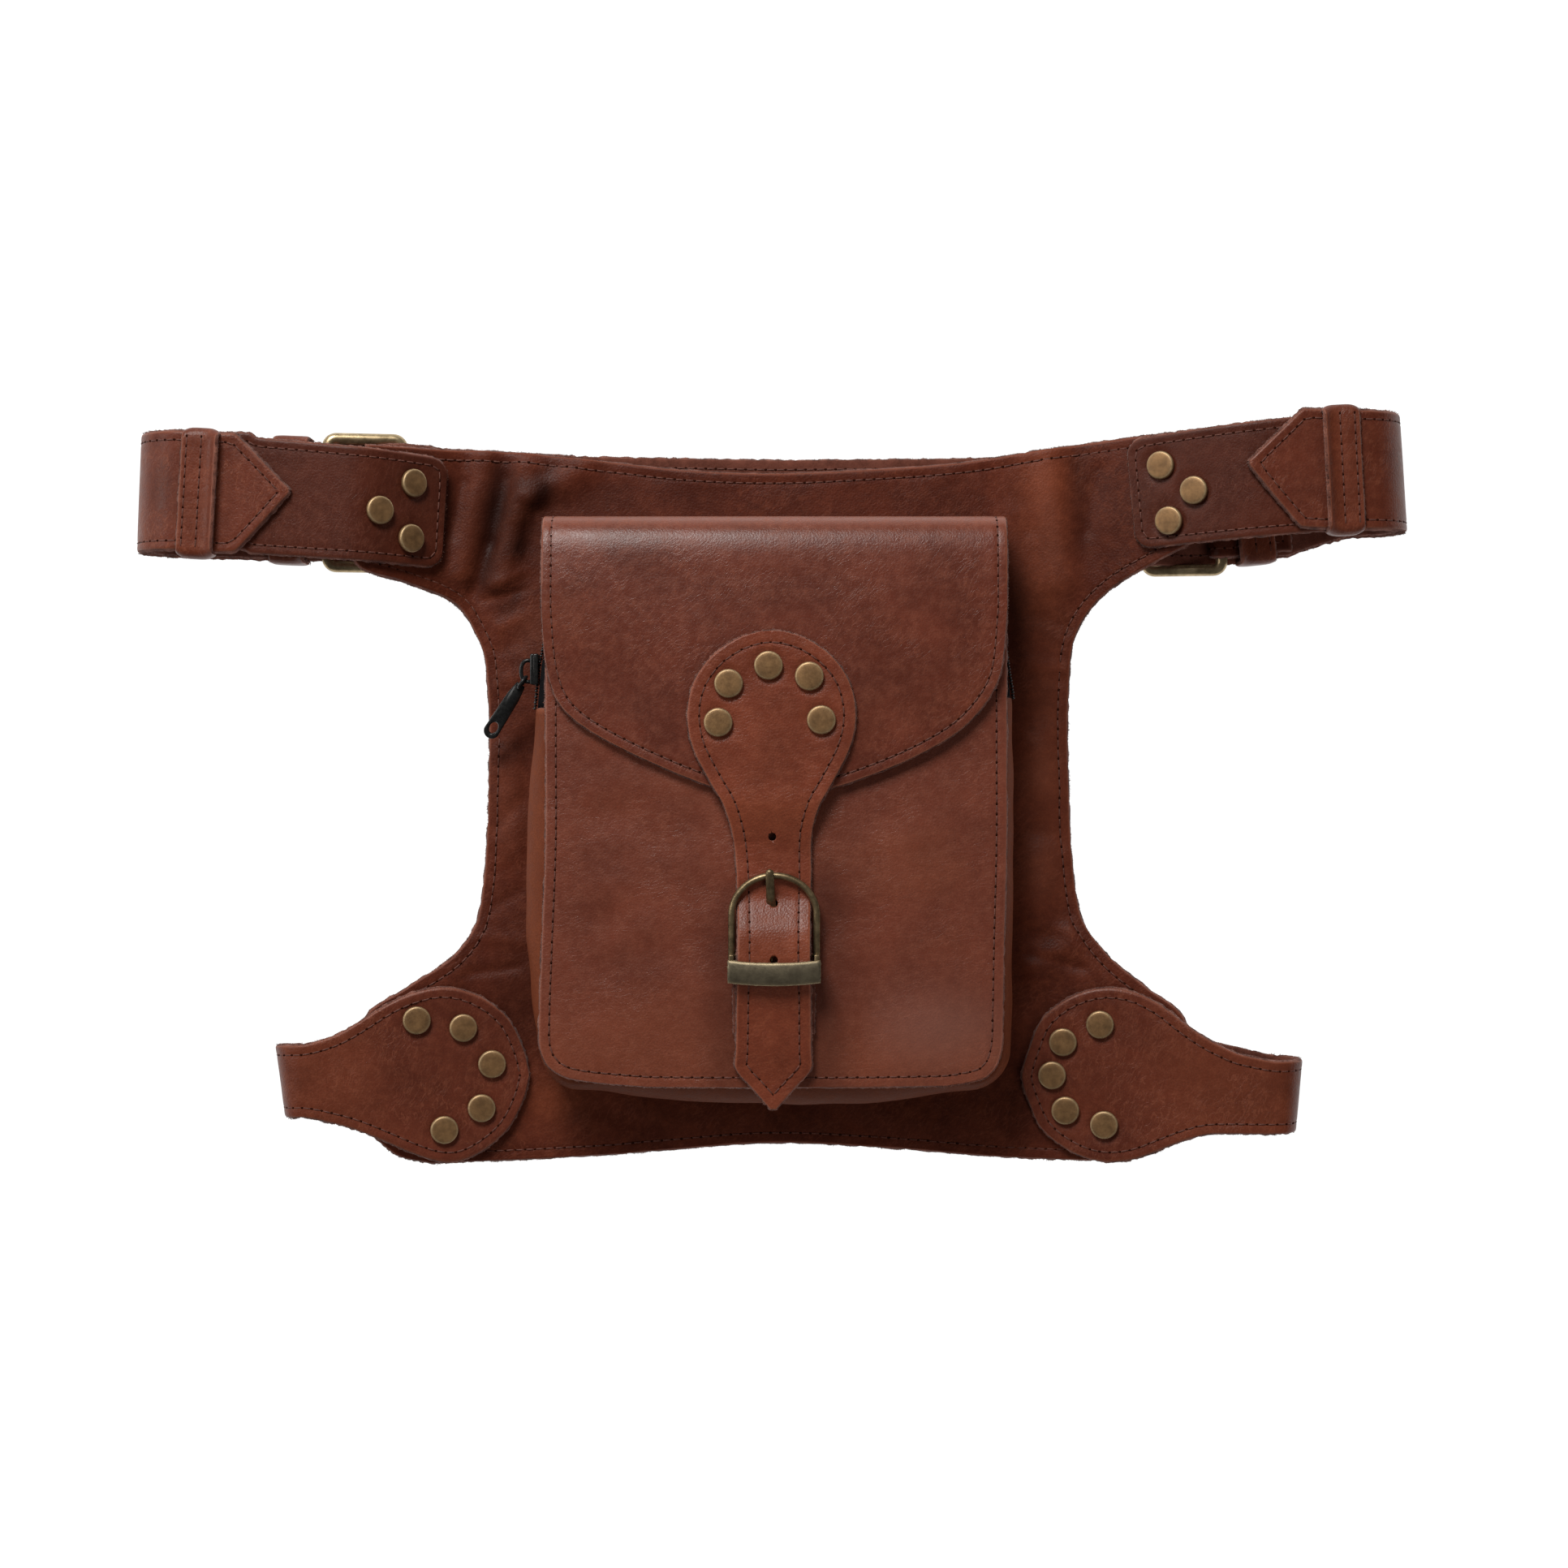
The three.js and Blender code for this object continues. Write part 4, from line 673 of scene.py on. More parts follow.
def tanned(name, deep, middle_tone, warm, pebble, cracks, shine, gleam, lie=40):
    """Brown pull-up leather: mottled, warmer where stretched, fine grained, with wrinkles lying one way, and
    with painted sheen and painted shade where its mesh's painted_light mark says.
    """
    material, tree, surface = shader(name)
    size = millimetres(tree)
    blotch = cloudy(tree, size, 0.045, 4.0, 0.6)
    cloud = cloudy(tree, size, 0.3, 5.0, 0.65)
    fine = cloudy(tree, size, 1.7, 3.0, 0.6)
    pores = put(tree, "ShaderNodeTexVoronoi", {"Vector": size, "Scale": 1.45, "Randomness": 1.0})
    swirl = put(tree, "ShaderNodeTexNoise", {"Vector": size, "Scale": 0.12, "Detail": 3.0}).outputs["Color"]

    def astray(reach):
        """Places moved about by up to a reach, so that a line laid on them wanders."""
        moved = put(tree, "ShaderNodeVectorMath", {0: swirl, "Scale": reach}, operation="SCALE").outputs[0]
        return put(tree, "ShaderNodeVectorMath", {0: size, 1: moved}, operation="ADD").outputs[0]

    def creases(field_place, scale, width, mask_from):
        """Thin wandering lines where a noise crosses its middle value, shown in patches only."""
        field = cloudy(tree, field_place, scale, 2.5, 0.55)
        near = reckon(tree, "ABSOLUTE", reckon(tree, "SUBTRACT", field, 0.5))
        line = ramp(tree, near, 0.0, width, 1.0, 0.0)
        shown = ramp(tree, cloudy(tree, size, 0.05, 3.0), mask_from, mask_from + 0.25)
        return reckon(tree, "MULTIPLY", line, shown)

    drawn_out = put(tree, "ShaderNodeMapping", {
        "Vector": astray(7.0), "Rotation": (0, 0, math.radians(lie)), "Scale": (6.5, 1.5, 2.5),
    }, vector_type="TEXTURE").outputs["Vector"]
    stretch = marked(tree, "pull")
    wide_net = creases(drawn_out, 0.8, 0.035, 0.34)
    close_net = creases(astray(16.0), 0.5, 0.025, 0.42)
    close_net = reckon(tree, "MULTIPLY", close_net, reckon(tree, "ADD", stretch, 0.4, True))
    lines = reckon(tree, "MAXIMUM", wide_net, close_net)

    base = blend(tree, ramp(tree, blotch, 0.36, 0.64), (*deep, 1), (*middle_tone, 1))
    warmth = reckon(tree, "ADD", stretch, ramp(tree, cloud, 0.45, 0.75, 0.0, 0.28), True)
    heated = blend(tree, warmth, base, (*warm, 1))
    lined = blend(tree, reckon(tree, "MULTIPLY", lines, 0.2 * cracks), heated, tint(warm, 1.35, 1.7, 2.2))
    dusted = blend(tree, 1.0, lined, ramp(tree, fine, 0.25, 0.75, 0.84, 1.14), "MULTIPLY")
    rubbed = reckon(tree, "MULTIPLY", marked(tree, "worn"), 0.6)
    edged = blend(tree, rubbed, dusted, tint(warm, 1.2, 1.5, 2.0))
    # Painted light: where the mesh's mark is above 0 the colour is mixed towards a pale pinkish brown as
    # painted sheen, where it is below 0 towards a dark brown as painted shade.
    painted_light_mark = marked(tree, "painted_light")
    with_painted_sheen = blend(tree, reckon(tree, "MULTIPLY", painted_light_mark, 1.0, True), edged, tint(warm, 1.15, 1.9, 3.2))
    shaded = blend(tree, reckon(tree, "MULTIPLY", painted_light_mark, -1.0, True), with_painted_sheen, tint(deep, 0.25, 0.25, 0.25))
    cells = reckon(tree, "MULTIPLY", pores.outputs["Distance"], -pebble)
    grain = reckon(tree, "ADD", cells, reckon(tree, "MULTIPLY", fine, 0.35))
    height = reckon(tree, "ADD", grain, reckon(tree, "MULTIPLY", lines, 0.34 * cracks))
    join(tree, surface, {
        "Base Color": shaded, "Roughness": ramp(tree, cloud, 0.3, 0.7, shine - 0.05, shine + 0.09),
        "Normal": emboss(tree, height, 0.6, 0.00014), "Specular IOR Level": gleam,
    })
    return material


def fibrous(name, dark, light, scale):
    """Raw cut or flesh side of the hide: matt, with loose fibres in two browns."""
    material, tree, surface = shader(name)
    size = millimetres(tree)
    hairs = cloudy(tree, size, scale, 6.0, 0.75, 1.6)
    share = reckon(tree, "ADD", hairs, cloudy(tree, size, 0.25, 3.0))
    join(tree, surface, {
        "Base Color": blend(tree, ramp(tree, share, 0.75, 1.25), (*dark, 1), (*light, 1)),
        "Normal": emboss(tree, hairs, 0.8, 0.0004),
        "Roughness": 0.92, "Specular IOR Level": 0.15, "Sheen Weight": 0.12,
    })
    return material


def spun_thread():
    """Brown sewing thread, matt, uneven along its twist."""
    material, tree, surface = shader("brown_thread")
    twist = ramp(tree, cloudy(tree, millimetres(tree), 2.4), 0.3, 0.7)
    join(tree, surface, {
        "Base Color": blend(tree, twist, (0.06, 0.0175, 0.0105, 1), (0.15, 0.049, 0.033, 1)),
        "Roughness": 0.7,
    })
    return material


def painted_needle_shade():
    """Painted shade for the inside of a needle hole: a near-black matt colour."""
    material, tree, surface = shader("needle_hole_painted_shade")
    depth = put(tree, "ShaderNodeTexNoise", {"Scale": 900.0}).outputs["Fac"]
    join(tree, surface, {
        "Base Color": blend(tree, depth, (0.014, 0.004, 0.0024, 1), (0.04, 0.0115, 0.007, 1)),
        "Roughness": 1.0, "Specular IOR Level": 0.0,
    })
    return material


flesh_side = fibrous("flesh_side", (0.08, 0.0225, 0.0132), (0.165, 0.053, 0.034), 0.9)
raw_edge = fibrous("raw_edge", (0.075, 0.022, 0.014), (0.27, 0.105, 0.072), 1.6)
trimmings = [flesh_side, raw_edge, spun_thread(), painted_needle_shade()]
panel_grain = tanned(
    "panel_grain", deep=(0.058, 0.012, 0.0058), middle_tone=(0.092, 0.0195, 0.0095), warm=(0.2, 0.048, 0.02),
    pebble=1.0, cracks=1.0, shine=0.45, gleam=0.13, lie=41,
)


def wing_height(wing, x):
    """Height of one of the panel's wings, which curves up to its strap."""
    return PANEL_BASE + wing["rise"] * ease((np.abs(x) - wing["start"]) / wing["run"])


def fold_height(x, y, folds):
    """Height of the folds in a table, each a soft ridge or valley along a line, clear of the pocket."""
    outside = np.maximum(np.maximum(np.abs(x - 1) - 78, y - 88), -100 - y)
    total = np.zeros_like(x)
    for row in folds:
        fold = dict(zip(FOLD_COLUMNS, row))
        run_x, run_y = fold["x1"] - fold["x0"], fold["y1"] - fold["y0"]
        from_x, from_y = x - fold["x0"], y - fold["y0"]
        t = np.clip((from_x * run_x + from_y * run_y) / (run_x ** 2 + run_y ** 2), 0, 1)
        away = np.hypot(from_x - t * run_x, from_y - t * run_y) / fold["width"]
        total += fold["height"] * np.exp(-away * away)
    return total * ease(outside / 8)


def panel_height(x, y):
    """Height of the panel's middle, with its four wings and its folds."""
    upper = np.where(x < 0, wing_height(WINGS["upper_left"], x), wing_height(WINGS["upper_right"], x))
    lower = np.where(x < 0, wing_height(WINGS["lower_left"], x), wing_height(WINGS["lower_right"], x))
    high, deep = ease((y - 25) / 40), ease((-y - 25) / 40)
    wings = PANEL_BASE + high * (upper - PANEL_BASE) + deep * (lower - PANEL_BASE)
    return wings + SLACK * fold_height(x, y, FOLDS)


def ripples(u, v, seed, count=5):
    """Soft uneven waves over a sheet, about 1 high, made of a few sines with seeded directions."""
    luck = np.random.default_rng(seed)
    total = np.zeros(np.broadcast(u, v).shape)
    for size in np.linspace(1.0, 2.6, count):
        turn, phase = luck.uniform(0, math.tau, 2)
        total += np.sin(size * (np.cos(turn) * u + np.sin(turn) * v) + phase) / size
    return total / 2


panel_steps = np.hypot(np.diff(PANEL_ROWS[:, 0]), np.diff(PANEL_ROWS[:, 1]))
panel_steps = panel_steps + np.hypot(np.diff(PANEL_ROWS[:, 2]), np.diff(PANEL_ROWS[:, 3]))
panel_lines = rail(PANEL_ROWS, panel_steps)(spread(196, 0.55))
left_x, left_y, right_x, right_y, to_top, to_bottom = panel_lines.T[..., None]
share = spread(150, 0.72)
top_edge, bottom_edge = curve(TOP_EDGE), curve(BOTTOM_EDGE)
panel_x = mix(left_x, right_x, share)
panel_y = mix(left_y, right_y, share)
panel_y = panel_y + to_top * (top_edge(panel_x) - mix(top_edge(left_x), top_edge(right_x), share))
panel_y = panel_y + to_bottom * (bottom_edge(panel_x) - mix(bottom_edge(left_x), bottom_edge(right_x), share))
panel_middle = np.stack([panel_x, panel_y, panel_height(panel_x, panel_y)], axis=-1)
panel_creases = fold_height(panel_x, panel_y, CREASES)
panel_wrinkles = ripples(panel_x / 5 + panel_y / 11, panel_y / 9 - panel_x / 12, 61)
panel_relief = panel_creases + 0.2 * panel_wrinkles * ease((np.abs(panel_x - 1) - 74) / 8)
panel_pull = 0.14 * ease((fold_height(panel_x, panel_y, FOLDS) - 0.9) / 2.2) + 0.22 * ease(panel_relief)
panel_pull += 0.35 * np.exp(-((panel_x - 88) / 8) ** 2) * ease((panel_y - 40) / 30)
# Painted highlights and painted shade on the panel, from the fold shading and the tone table.
panel_painted_light = fold_height(panel_x, panel_y, PAINTED_FOLD_SHADING)
for row in PANEL_PULL_AND_PAINTED_LIGHT:
    zone = dict(zip(TONE_COLUMNS, row))
    spot = ((panel_x - zone["x"]) / zone["reach x"]) ** 2 + ((panel_y - zone["y"]) / zone["reach y"]) ** 2
    panel_pull += zone["pull"] * np.exp(-spot)
    panel_painted_light += zone["painted_light"] * np.exp(-spot)
panel = hide(
    "back_panel_hide", panel_middle, PANEL_THICK, [panel_grain, *trimmings], grain=-1, seam=PANEL_SEAM,
    relief=panel_relief, pull=panel_pull, painted_light=panel_painted_light, pucker=0.19,
)
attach(panel, "bag")
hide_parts("back_panel")

# Pocket gusset
# The pocket's side wall: a strip of softer hide sewn to the panel and to the pocket's front, which swells
# out between them, is stretched to a warmer brown and has a few soft pleats.
POCKET = {"left": -72.5, "right": 74.5, "bottom": -95.5, "top": 80.5, "low_corner": 10, "high_corner": 7}
GUSSET_THICK = 1.6
GUSSET_FOOT = 6.3
GUSSET_HEAD = 36.2
GUSSET_LEFT_END = 24.6
GUSSET_RIGHT_END = 28.0
RIM_STEP = 1.7
LEFT_BULGE = curve([
    (60, -0.8), (50, -0.6), (44, 0.4), (38, 1.6), (24, 3.0), (0, 5.4), (-20, 6.3), (-48, 6.1), (-68, 4.4),
    (-80, 2.6), (-90, 1.6),
])
BOTTOM_BULGE = curve([
    (-66, 1.6), (-58, 2.4), (-45, 4.4), (-25, 6.4), (0, 6.9), (25, 6.9), (47, 4.8), (60, 2.6), (68, 1.8),
])
RIGHT_BULGE = curve([
    (60, -0.8), (48, -0.4), (38, 0.8), (28, 2.2), (-20, 2.8), (-60, 2.6), (-79, 2.4), (-90, 1.8),
])
TOP_BULGE = 0.5
# The wall's section from the panel to the front: how far it is turned in, shares of the bulge and the rise.
SECTION = np.array([
    (-6, 0, 0), (-1, 0, 0), (0, 0.62, 0.2), (0, 1, 0.48), (0, 0.74, 0.76), (-1, 0, 1), (-6, 0, 1),
])
section_line = rail(SECTION, np.ones(len(SECTION) - 1))


def straight_rim(start, stop, out):
    """Evenly spaced places along a straight side of the pocket, each with its outward direction."""
    count = max(2, int(math.dist(start, stop) / RIM_STEP))
    places = np.linspace(start, stop, count)
    return np.hstack([places, np.tile(out, (count, 1))])


def corner_rim(x, y, radius, start, stop):
    """Places round a corner of the pocket, between two straight sides."""
    turns = np.radians(np.linspace(start, stop, 12)[1:-1])
    out = np.stack([np.cos(turns), np.sin(turns)], axis=-1)
    return np.hstack([np.array([x, y]) + radius * out, out])


def swell(rim):
    """How far the pocket's wall bulges out at each place of its rim."""
    x, y, out_x, out_y = rim.T
    beside = np.where(out_x < 0, LEFT_BULGE(y), RIGHT_BULGE(y))
    beside = mix(beside, BOTTOM_BULGE(x), ease((-out_y - 0.3) / 0.6))
    return mix(beside, TOP_BULGE, ease(out_y))


def pocket_wall(rim, foot, columns):
    """The middle surface of a wall that stands on the pocket's rim, from its foot to the pocket's front."""
    turned_in, bulged, risen = section_line(np.linspace(0, 1, columns)).T
    out = turned_in + bulged * swell(rim)[:, None]
    x = rim[:, 0:1] + rim[:, 2:3] * out
    y = rim[:, 1:2] + rim[:, 3:4] * out
    return np.stack([x, y, mix(foot[:, None], GUSSET_HEAD, risen)], axis=-1)


low, high = POCKET["low_corner"], POCKET["high_corner"]
west, east, south, north = POCKET["left"], POCKET["right"], POCKET["bottom"], POCKET["top"]
gusset_rim = np.vstack([
    straight_rim((west, GUSSET_LEFT_END), (west, south + low), (-1, 0)),
    corner_rim(west + low, south + low, low, 180, 270),
    straight_rim((west + low, south), (east - low, south), (0, -1)),
    corner_rim(east - low, south + low, low, 270, 360),
    straight_rim((east, south + low), (east, GUSSET_RIGHT_END), (1, 0)),
])
gusset_middle = pocket_wall(gusset_rim, np.full(len(gusset_rim), GUSSET_FOOT), 30)
gusset_way = np.arange(len(gusset_rim))[:, None] * RIM_STEP
gusset_rise = np.sin(math.pi * np.linspace(0, 1, 30)) ** 2
gusset_relief = 0.35 * gusset_rise * ripples(gusset_way / 7, np.linspace(0, 3, 30), 5)
soft_grain = tanned(
    "soft_grain", deep=(0.088, 0.0205, 0.0102), middle_tone=(0.122, 0.0305, 0.0148),
    warm=(0.2, 0.055, 0.0235), pebble=0.7, cracks=0.6, shine=0.55, gleam=0.03,
)
# Painted shade: the gusset's bottom wall, which faces away from the light, is darkened.
gusset = hide(
    "pocket_gusset_hide", gusset_middle, GUSSET_THICK, [soft_grain, *trimmings],
    relief=gusset_relief, pull=0.25 + 0.35 * gusset_rise, fray=0.5,
    painted_light=-0.4 * ease((-gusset_middle[..., 1] - 90) / 6),
)
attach(gusset, "bag")
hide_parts("pocket_gusset")

# Zip
# A black zip over the pocket's top and down both sides: woven tape sewn in the wall, a chain of small
# moulded teeth, a cast slider with a wire bail and a tapered pull that hangs from it and swings.
TAPE_THICK = 1.0
TAPE_STEP = 2.35
COIL_RADIUS = 0.8
COIL_RISE = 0.48
TOOTH_PITCH = 0.95
TOOTH_REACH = 2.3
TOOTH_ROOT = 0.35
TOOTH_SIDES = 8
# Each row is a ring of a tooth: share of its length, radius.
TOOTH = [(0.0, 0.2), (0.1, 0.42), (0.35, 0.48), (0.75, 0.46), (0.94, 0.36), (1.0, 0.16)]
SLIDER_PLACE = {"y": 37.6, "length": 10.0, "height": 8.4}
BAIL_RADIUS = 0.65
PULL = {"heading": 34, "pitch": 16, "ring": 2.3, "wire": 0.6, "length": 21.5, "neck": 2.1, "head": 2.6}
PULL_THICK = 1.5
EYELET = {"back": 3.9, "long": 2.1, "wide": 1.4}
TAB_SIDES = 72
# Room between neighbouring pieces, and round a wire or a bar, here and in the later sections.
GAP = 0.35
SLIP = 0.3


def rod(pile, path, radius, sides=18, closed=False, flat=(0, 0, 1), skin=0):
    """A round rod along points, thinner where its radius is a row of smaller numbers."""
    path = np.asarray(path, float)
    count = len(path)
    along = np.roll(path, -1, 0) - np.roll(path, 1, 0) if closed else np.gradient(path, axis=0)
    side = unit(np.cross(np.array(flat, float), along))
    lift = unit(np.cross(along, side))
    turns = circle(sides)[:, None]
    ring = np.cos(turns) * side[:, None, :] + np.sin(turns) * lift[:, None, :]
    reach = np.broadcast_to(np.asarray(radius, float), (count,))
    points = path[:, None, :] + ring * reach[:, None, None]
    faces = [(a, d, c, b) for a, b, c, d in band_faces(count, sides, closed)]
    if not closed:
        last = (count - 1) * sides
        faces += [tuple(range(sides))[::-1], tuple(range(last, last + sides))]
    pile.add(points, faces, skin)


def blunt(count, radius, share=0.06):
    """A rod's radius along its length, rounded off over a share of it at both ends."""
    way = np.linspace(0, 1, count)
    end = np.clip(np.minimum(way, 1 - way) / share, 0, 1)
    return radius * np.sqrt(np.maximum(1 - (1 - end) ** 2, 0.02))


def solid_piece(name, pile, skins):
    """An object of a gathered pile, with its faces turned outwards."""
    made = pile.mesh(name)
    for skin in skins:
        made.materials.append(skin)
    turn_outwards(made)
    piece = bpy.data.objects.new(name, made)
    bpy.context.scene.collection.objects.link(piece)
    return piece


def woven_black():
    """Black zip tape with a fine slanting weave."""
    material, tree, surface = shader("woven_black")
    slanting = millimetres(tree, (0.6, 0.3, 0.78))
    weave = {"Vector": slanting, "Scale": 0.6, "Distortion": 0.6}
    warp = put(tree, "ShaderNodeTexWave", weave).outputs["Fac"]
    join(tree, surface, {
        "Base Color": blend(tree, warp, (0.004, 0.004, 0.005, 1), (0.018, 0.017, 0.018, 1)),
        "Normal": emboss(tree, warp, 0.6, 0.0003), "Roughness": 0.9, "Specular IOR Level": 0.0,
    })
    return material


def glossy_black(name, roughness, gleam):
    """Black enamel or nylon with slight wear."""
    material, tree, surface = shader(name)
    wear = cloudy(tree, millimetres(tree), 0.8, 4.0)
    join(tree, surface, {
        "Base Color": ramp(tree, wear, 0.0, 1.0, 0.004, 0.02),
        "Roughness": ramp(tree, wear, 0.3, 0.7, roughness - 0.08, roughness + 0.12),
        "Specular IOR Level": gleam,
    })
    return material


zip_rim = np.vstack([
    straight_rim((east, GUSSET_RIGHT_END + GAP), (east, north - high), (1, 0)),
    corner_rim(east - high, north - high, high, 0, 90),
    straight_rim((east - high, north), (west + high, north), (0, 1)),
    corner_rim(west + high, north - high, high, 90, 180),
    straight_rim((west, north - high), (west, GUSSET_LEFT_END + GAP), (-1, 0)),
])


def tape_foot(y):
    """Height of the tape's lower edge, which climbs over the flap's foot at the top."""
    return GUSSET_FOOT + TAPE_STEP * ease((y - 56) / 10)


tape_middle = pocket_wall(zip_rim, tape_foot(zip_rim[:, 1]), 24)
tape_black = woven_black()
tape = hide("zip_tape_weave", tape_middle, TAPE_THICK, [tape_black] * 5, fray=0.0, bevel=0.0)
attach(tape, "bag")
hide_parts("zip_tape")

coil_out = swell(zip_rim) + TAPE_THICK / 2 + SLIP + COIL_RADIUS
coil_line = np.stack([
    zip_rim[:, 0] + zip_rim[:, 2] * coil_out,
    zip_rim[:, 1] + zip_rim[:, 3] * coil_out,
    mix(tape_foot(zip_rim[:, 1]), GUSSET_HEAD, COIL_RISE),
], axis=-1)
teeth_at = walk(np.hstack([coil_line, zip_rim[:, 2:], np.zeros((len(zip_rim), 1))]), TOOTH_PITCH)
tooth = np.array([
    (place, radius * math.cos(turn), radius * 1.15 * math.sin(turn))
    for place, radius in TOOTH for turn in circle(TOOTH_SIDES)
])
tooth_faces = band_faces(len(TOOTH), TOOTH_SIDES)
tooth_faces += [tuple(range(TOOTH_SIDES))[::-1], tuple(range(len(tooth) - TOOTH_SIDES, len(tooth)))]
chain = Pile()
for way in (1, -1):
    row = teeth_at[(0 if way > 0 else 1)::2]
    straight_up = np.tile([0.0, 0.0, float(way)], (len(row), 1))
    lengths = np.full(len(row), TOOTH_REACH)
    roots = row[:, :3] - straight_up * TOOTH_ROOT
    copies(chain, tooth, tooth_faces, roots, straight_up, unit(row[:, 3:]), lengths, 0)
zip_nylon = glossy_black("zip_nylon", 0.3, 0.6)
zip_enamel = glossy_black("zip_enamel", 0.24, 0.25)
teeth = solid_piece("zip_teeth", chain, [zip_nylon])
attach(teeth, "bag")
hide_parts("zip_coil")


def soft_block(pile, low_corner, high_corner, round_off, skin=0):
    """A block with its edges rounded off."""
    body = bmesh.new()
    bmesh.ops.create_cube(body, size=1.0)
    centre = (np.array(low_corner) + np.array(high_corner)) / 2
    span = np.array(high_corner) - np.array(low_corner)
    for vertex in body.verts:
        vertex.co = Vector(np.array(vertex.co) * span + centre)
    bmesh.ops.bevel(body, geom=body.edges[:], offset=round_off, segments=3, profile=0.5, affect="EDGES")
    body.verts.index_update()
    points = np.array([vertex.co[:] for vertex in body.verts])
    pile.add(points, [[vertex.index for vertex in face.verts] for face in body.faces], skin)
    body.free()


slider_y, slider_z = SLIDER_PLACE["y"], mix(GUSSET_FOOT, GUSSET_HEAD, COIL_RISE)
tape_face = west - float(LEFT_BULGE(slider_y)) - TAPE_THICK / 2
coil_axis = tape_face - SLIP - COIL_RADIUS
slider_face = coil_axis - COIL_RADIUS - GAP - 1.4
half_length, half_height = SLIDER_PLACE["length"] / 2, SLIDER_PLACE["height"] / 2
slider = Pile()
soft_block(
    slider, (slider_face, slider_y - half_length, slider_z - half_height),
    (slider_face + 1.5, slider_y + half_length, slider_z + half_height), 0.5,
)
for way in (-1, 1):
    lip_low = slider_z + (1.2 if way > 0 else -half_height)
    lip_high = slider_z + (half_height if way > 0 else -1.2)
    soft_block(
        slider, (slider_face + 1.0, slider_y - half_length, lip_low),
        (coil_axis + 0.1, slider_y + half_length, lip_high), 0.4,
    )
bail_turns = np.linspace(-math.pi / 2, math.pi / 2, 21)
bail_line = [
    (slider_face + 0.4 - 3.6 * math.cos(turn) ** 0.45, slider_y - 0.5 - 3.5 * math.sin(turn), slider_z)
    for turn in bail_turns
]
rod(slider, bail_line, BAIL_RADIUS, 14)
slider_piece = solid_piece("zip_slider_cast", slider, [zip_enamel])
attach(slider_piece, "bag")
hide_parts("zip_slider")

pull = Pile()
rays = circle(TAB_SIDES)
eye_x = PULL["length"] - EYELET["back"]


def tab_edge(turn):
    """The tab's outer edge on a ray from the middle of its eyelet."""
    step = np.array([math.cos(turn), math.sin(turn)])
    low_reach, high_reach = 0.0, 30.0
    for _ in range(40):
        reach = (low_reach + high_reach) / 2
        x, y = eye_x + reach * step[0], reach * step[1]
        round_x = PULL["length"] - PULL["head"]
        half = mix(PULL["neck"], PULL["head"], min(max(x / round_x, 0), 1))
        inside = math.hypot(x - round_x, y) <= PULL["head"]
        if x <= round_x:
            inside = x >= 0 and abs(y) <= half
        if inside:
            low_reach = reach
        else:
            high_reach = reach
    return low_reach


outer = np.array([tab_edge(turn) for turn in rays])
eye_round = np.hypot(EYELET["wide"] * np.cos(rays), EYELET["long"] * np.sin(rays))
inner = EYELET["long"] * EYELET["wide"] / eye_round
half = PULL_THICK / 2
tab_rings = [
    (inner, -0.5 * half), (inner, 0.5 * half), (inner + 0.35, half), (outer - 0.4, half),
    (outer - 0.1, 0.75 * half), (outer, 0.4 * half), (outer, -0.4 * half), (outer - 0.1, -0.75 * half),
    (outer - 0.4, -half), (inner + 0.35, -half),
]
tab_points = np.stack([
    np.stack([eye_x + reach * np.cos(rays), reach * np.sin(rays), np.full(TAB_SIDES, level)], axis=-1)
    for reach, level in tab_rings
])
tab_points[..., 0] += 2 * PULL["ring"] - 1.7
tab_points[..., 2] += 0.6 * (1 - ease((tab_points[..., 0] - 3) / 7))
pull.add(tab_points, band_faces(len(tab_rings), TAB_SIDES, True), 0)
pull_ring = [(PULL["ring"] * (1 - math.cos(turn)), 0.0, PULL["ring"] * math.sin(turn)) for turn in circle(28)]
rod(pull, pull_ring, PULL["wire"], 12, True, (0, 1, 0))
tip = math.radians(PULL["pitch"])
heading = math.radians(-90 - PULL["heading"])
tipped = np.array([[math.cos(tip), 0, math.sin(tip)], [0, 1, 0], [-math.sin(tip), 0, math.cos(tip)]])
turned = np.array([
    [math.cos(heading), -math.sin(heading), 0], [math.sin(heading), math.cos(heading), 0], [0, 0, 1],
])
hold = np.array([slider_face - 3.2 + BAIL_RADIUS + SLIP + PULL["wire"], slider_y - 2.4, slider_z])
pull.points = [points @ (turned @ tipped).T + hold for points in pull.points]
pull_piece = solid_piece("zip_pull_tab", pull, [zip_enamel])
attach(pull_piece, "zip_pull")
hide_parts("zip_pull")

# Pocket front
# The pocket's face, one sheet of hide sewn to the gusset along a narrow raw rim. It is slightly domed
# by what the pocket holds, and wear has left it with soft waves and wandering creases.
FRONT_THICK = 1.8
FRONT_RIM = 38.25
FRONT_CROWN = 2.2
FRONT_SEAM = 3.2
# Each row is a line across the front: y, left x, right x.
FRONT_ROWS = np.array([
    (80.5, -66, 68.5), (77, -70.4, 73), (70, -72, 74.6), (45, -72, 74.8), (15, -72, 74.8), (-18, -72, 74.8),
    (-50, -73.2, 74), (-75, -74.1, 73.6), (-84, -73.8, 73.2), (-90, -70.8, 71.2), (-93.6, -64, 67.4),
    (-95.8, -40, 56),
])


def crown(x, y):
    """How far the pocket front is domed by what the pocket holds."""
    across = np.clip(1 - ((x - 1) / 74) ** 2, 0, 1)
    along = np.clip(1 - ((y + 8) / 92) ** 4, 0, 1)
    return FRONT_CROWN * across * along


def front_top(x, y):
    """Height of the pocket front's outer side."""
    return FRONT_RIM + FRONT_THICK / 2 + crown(x, y)


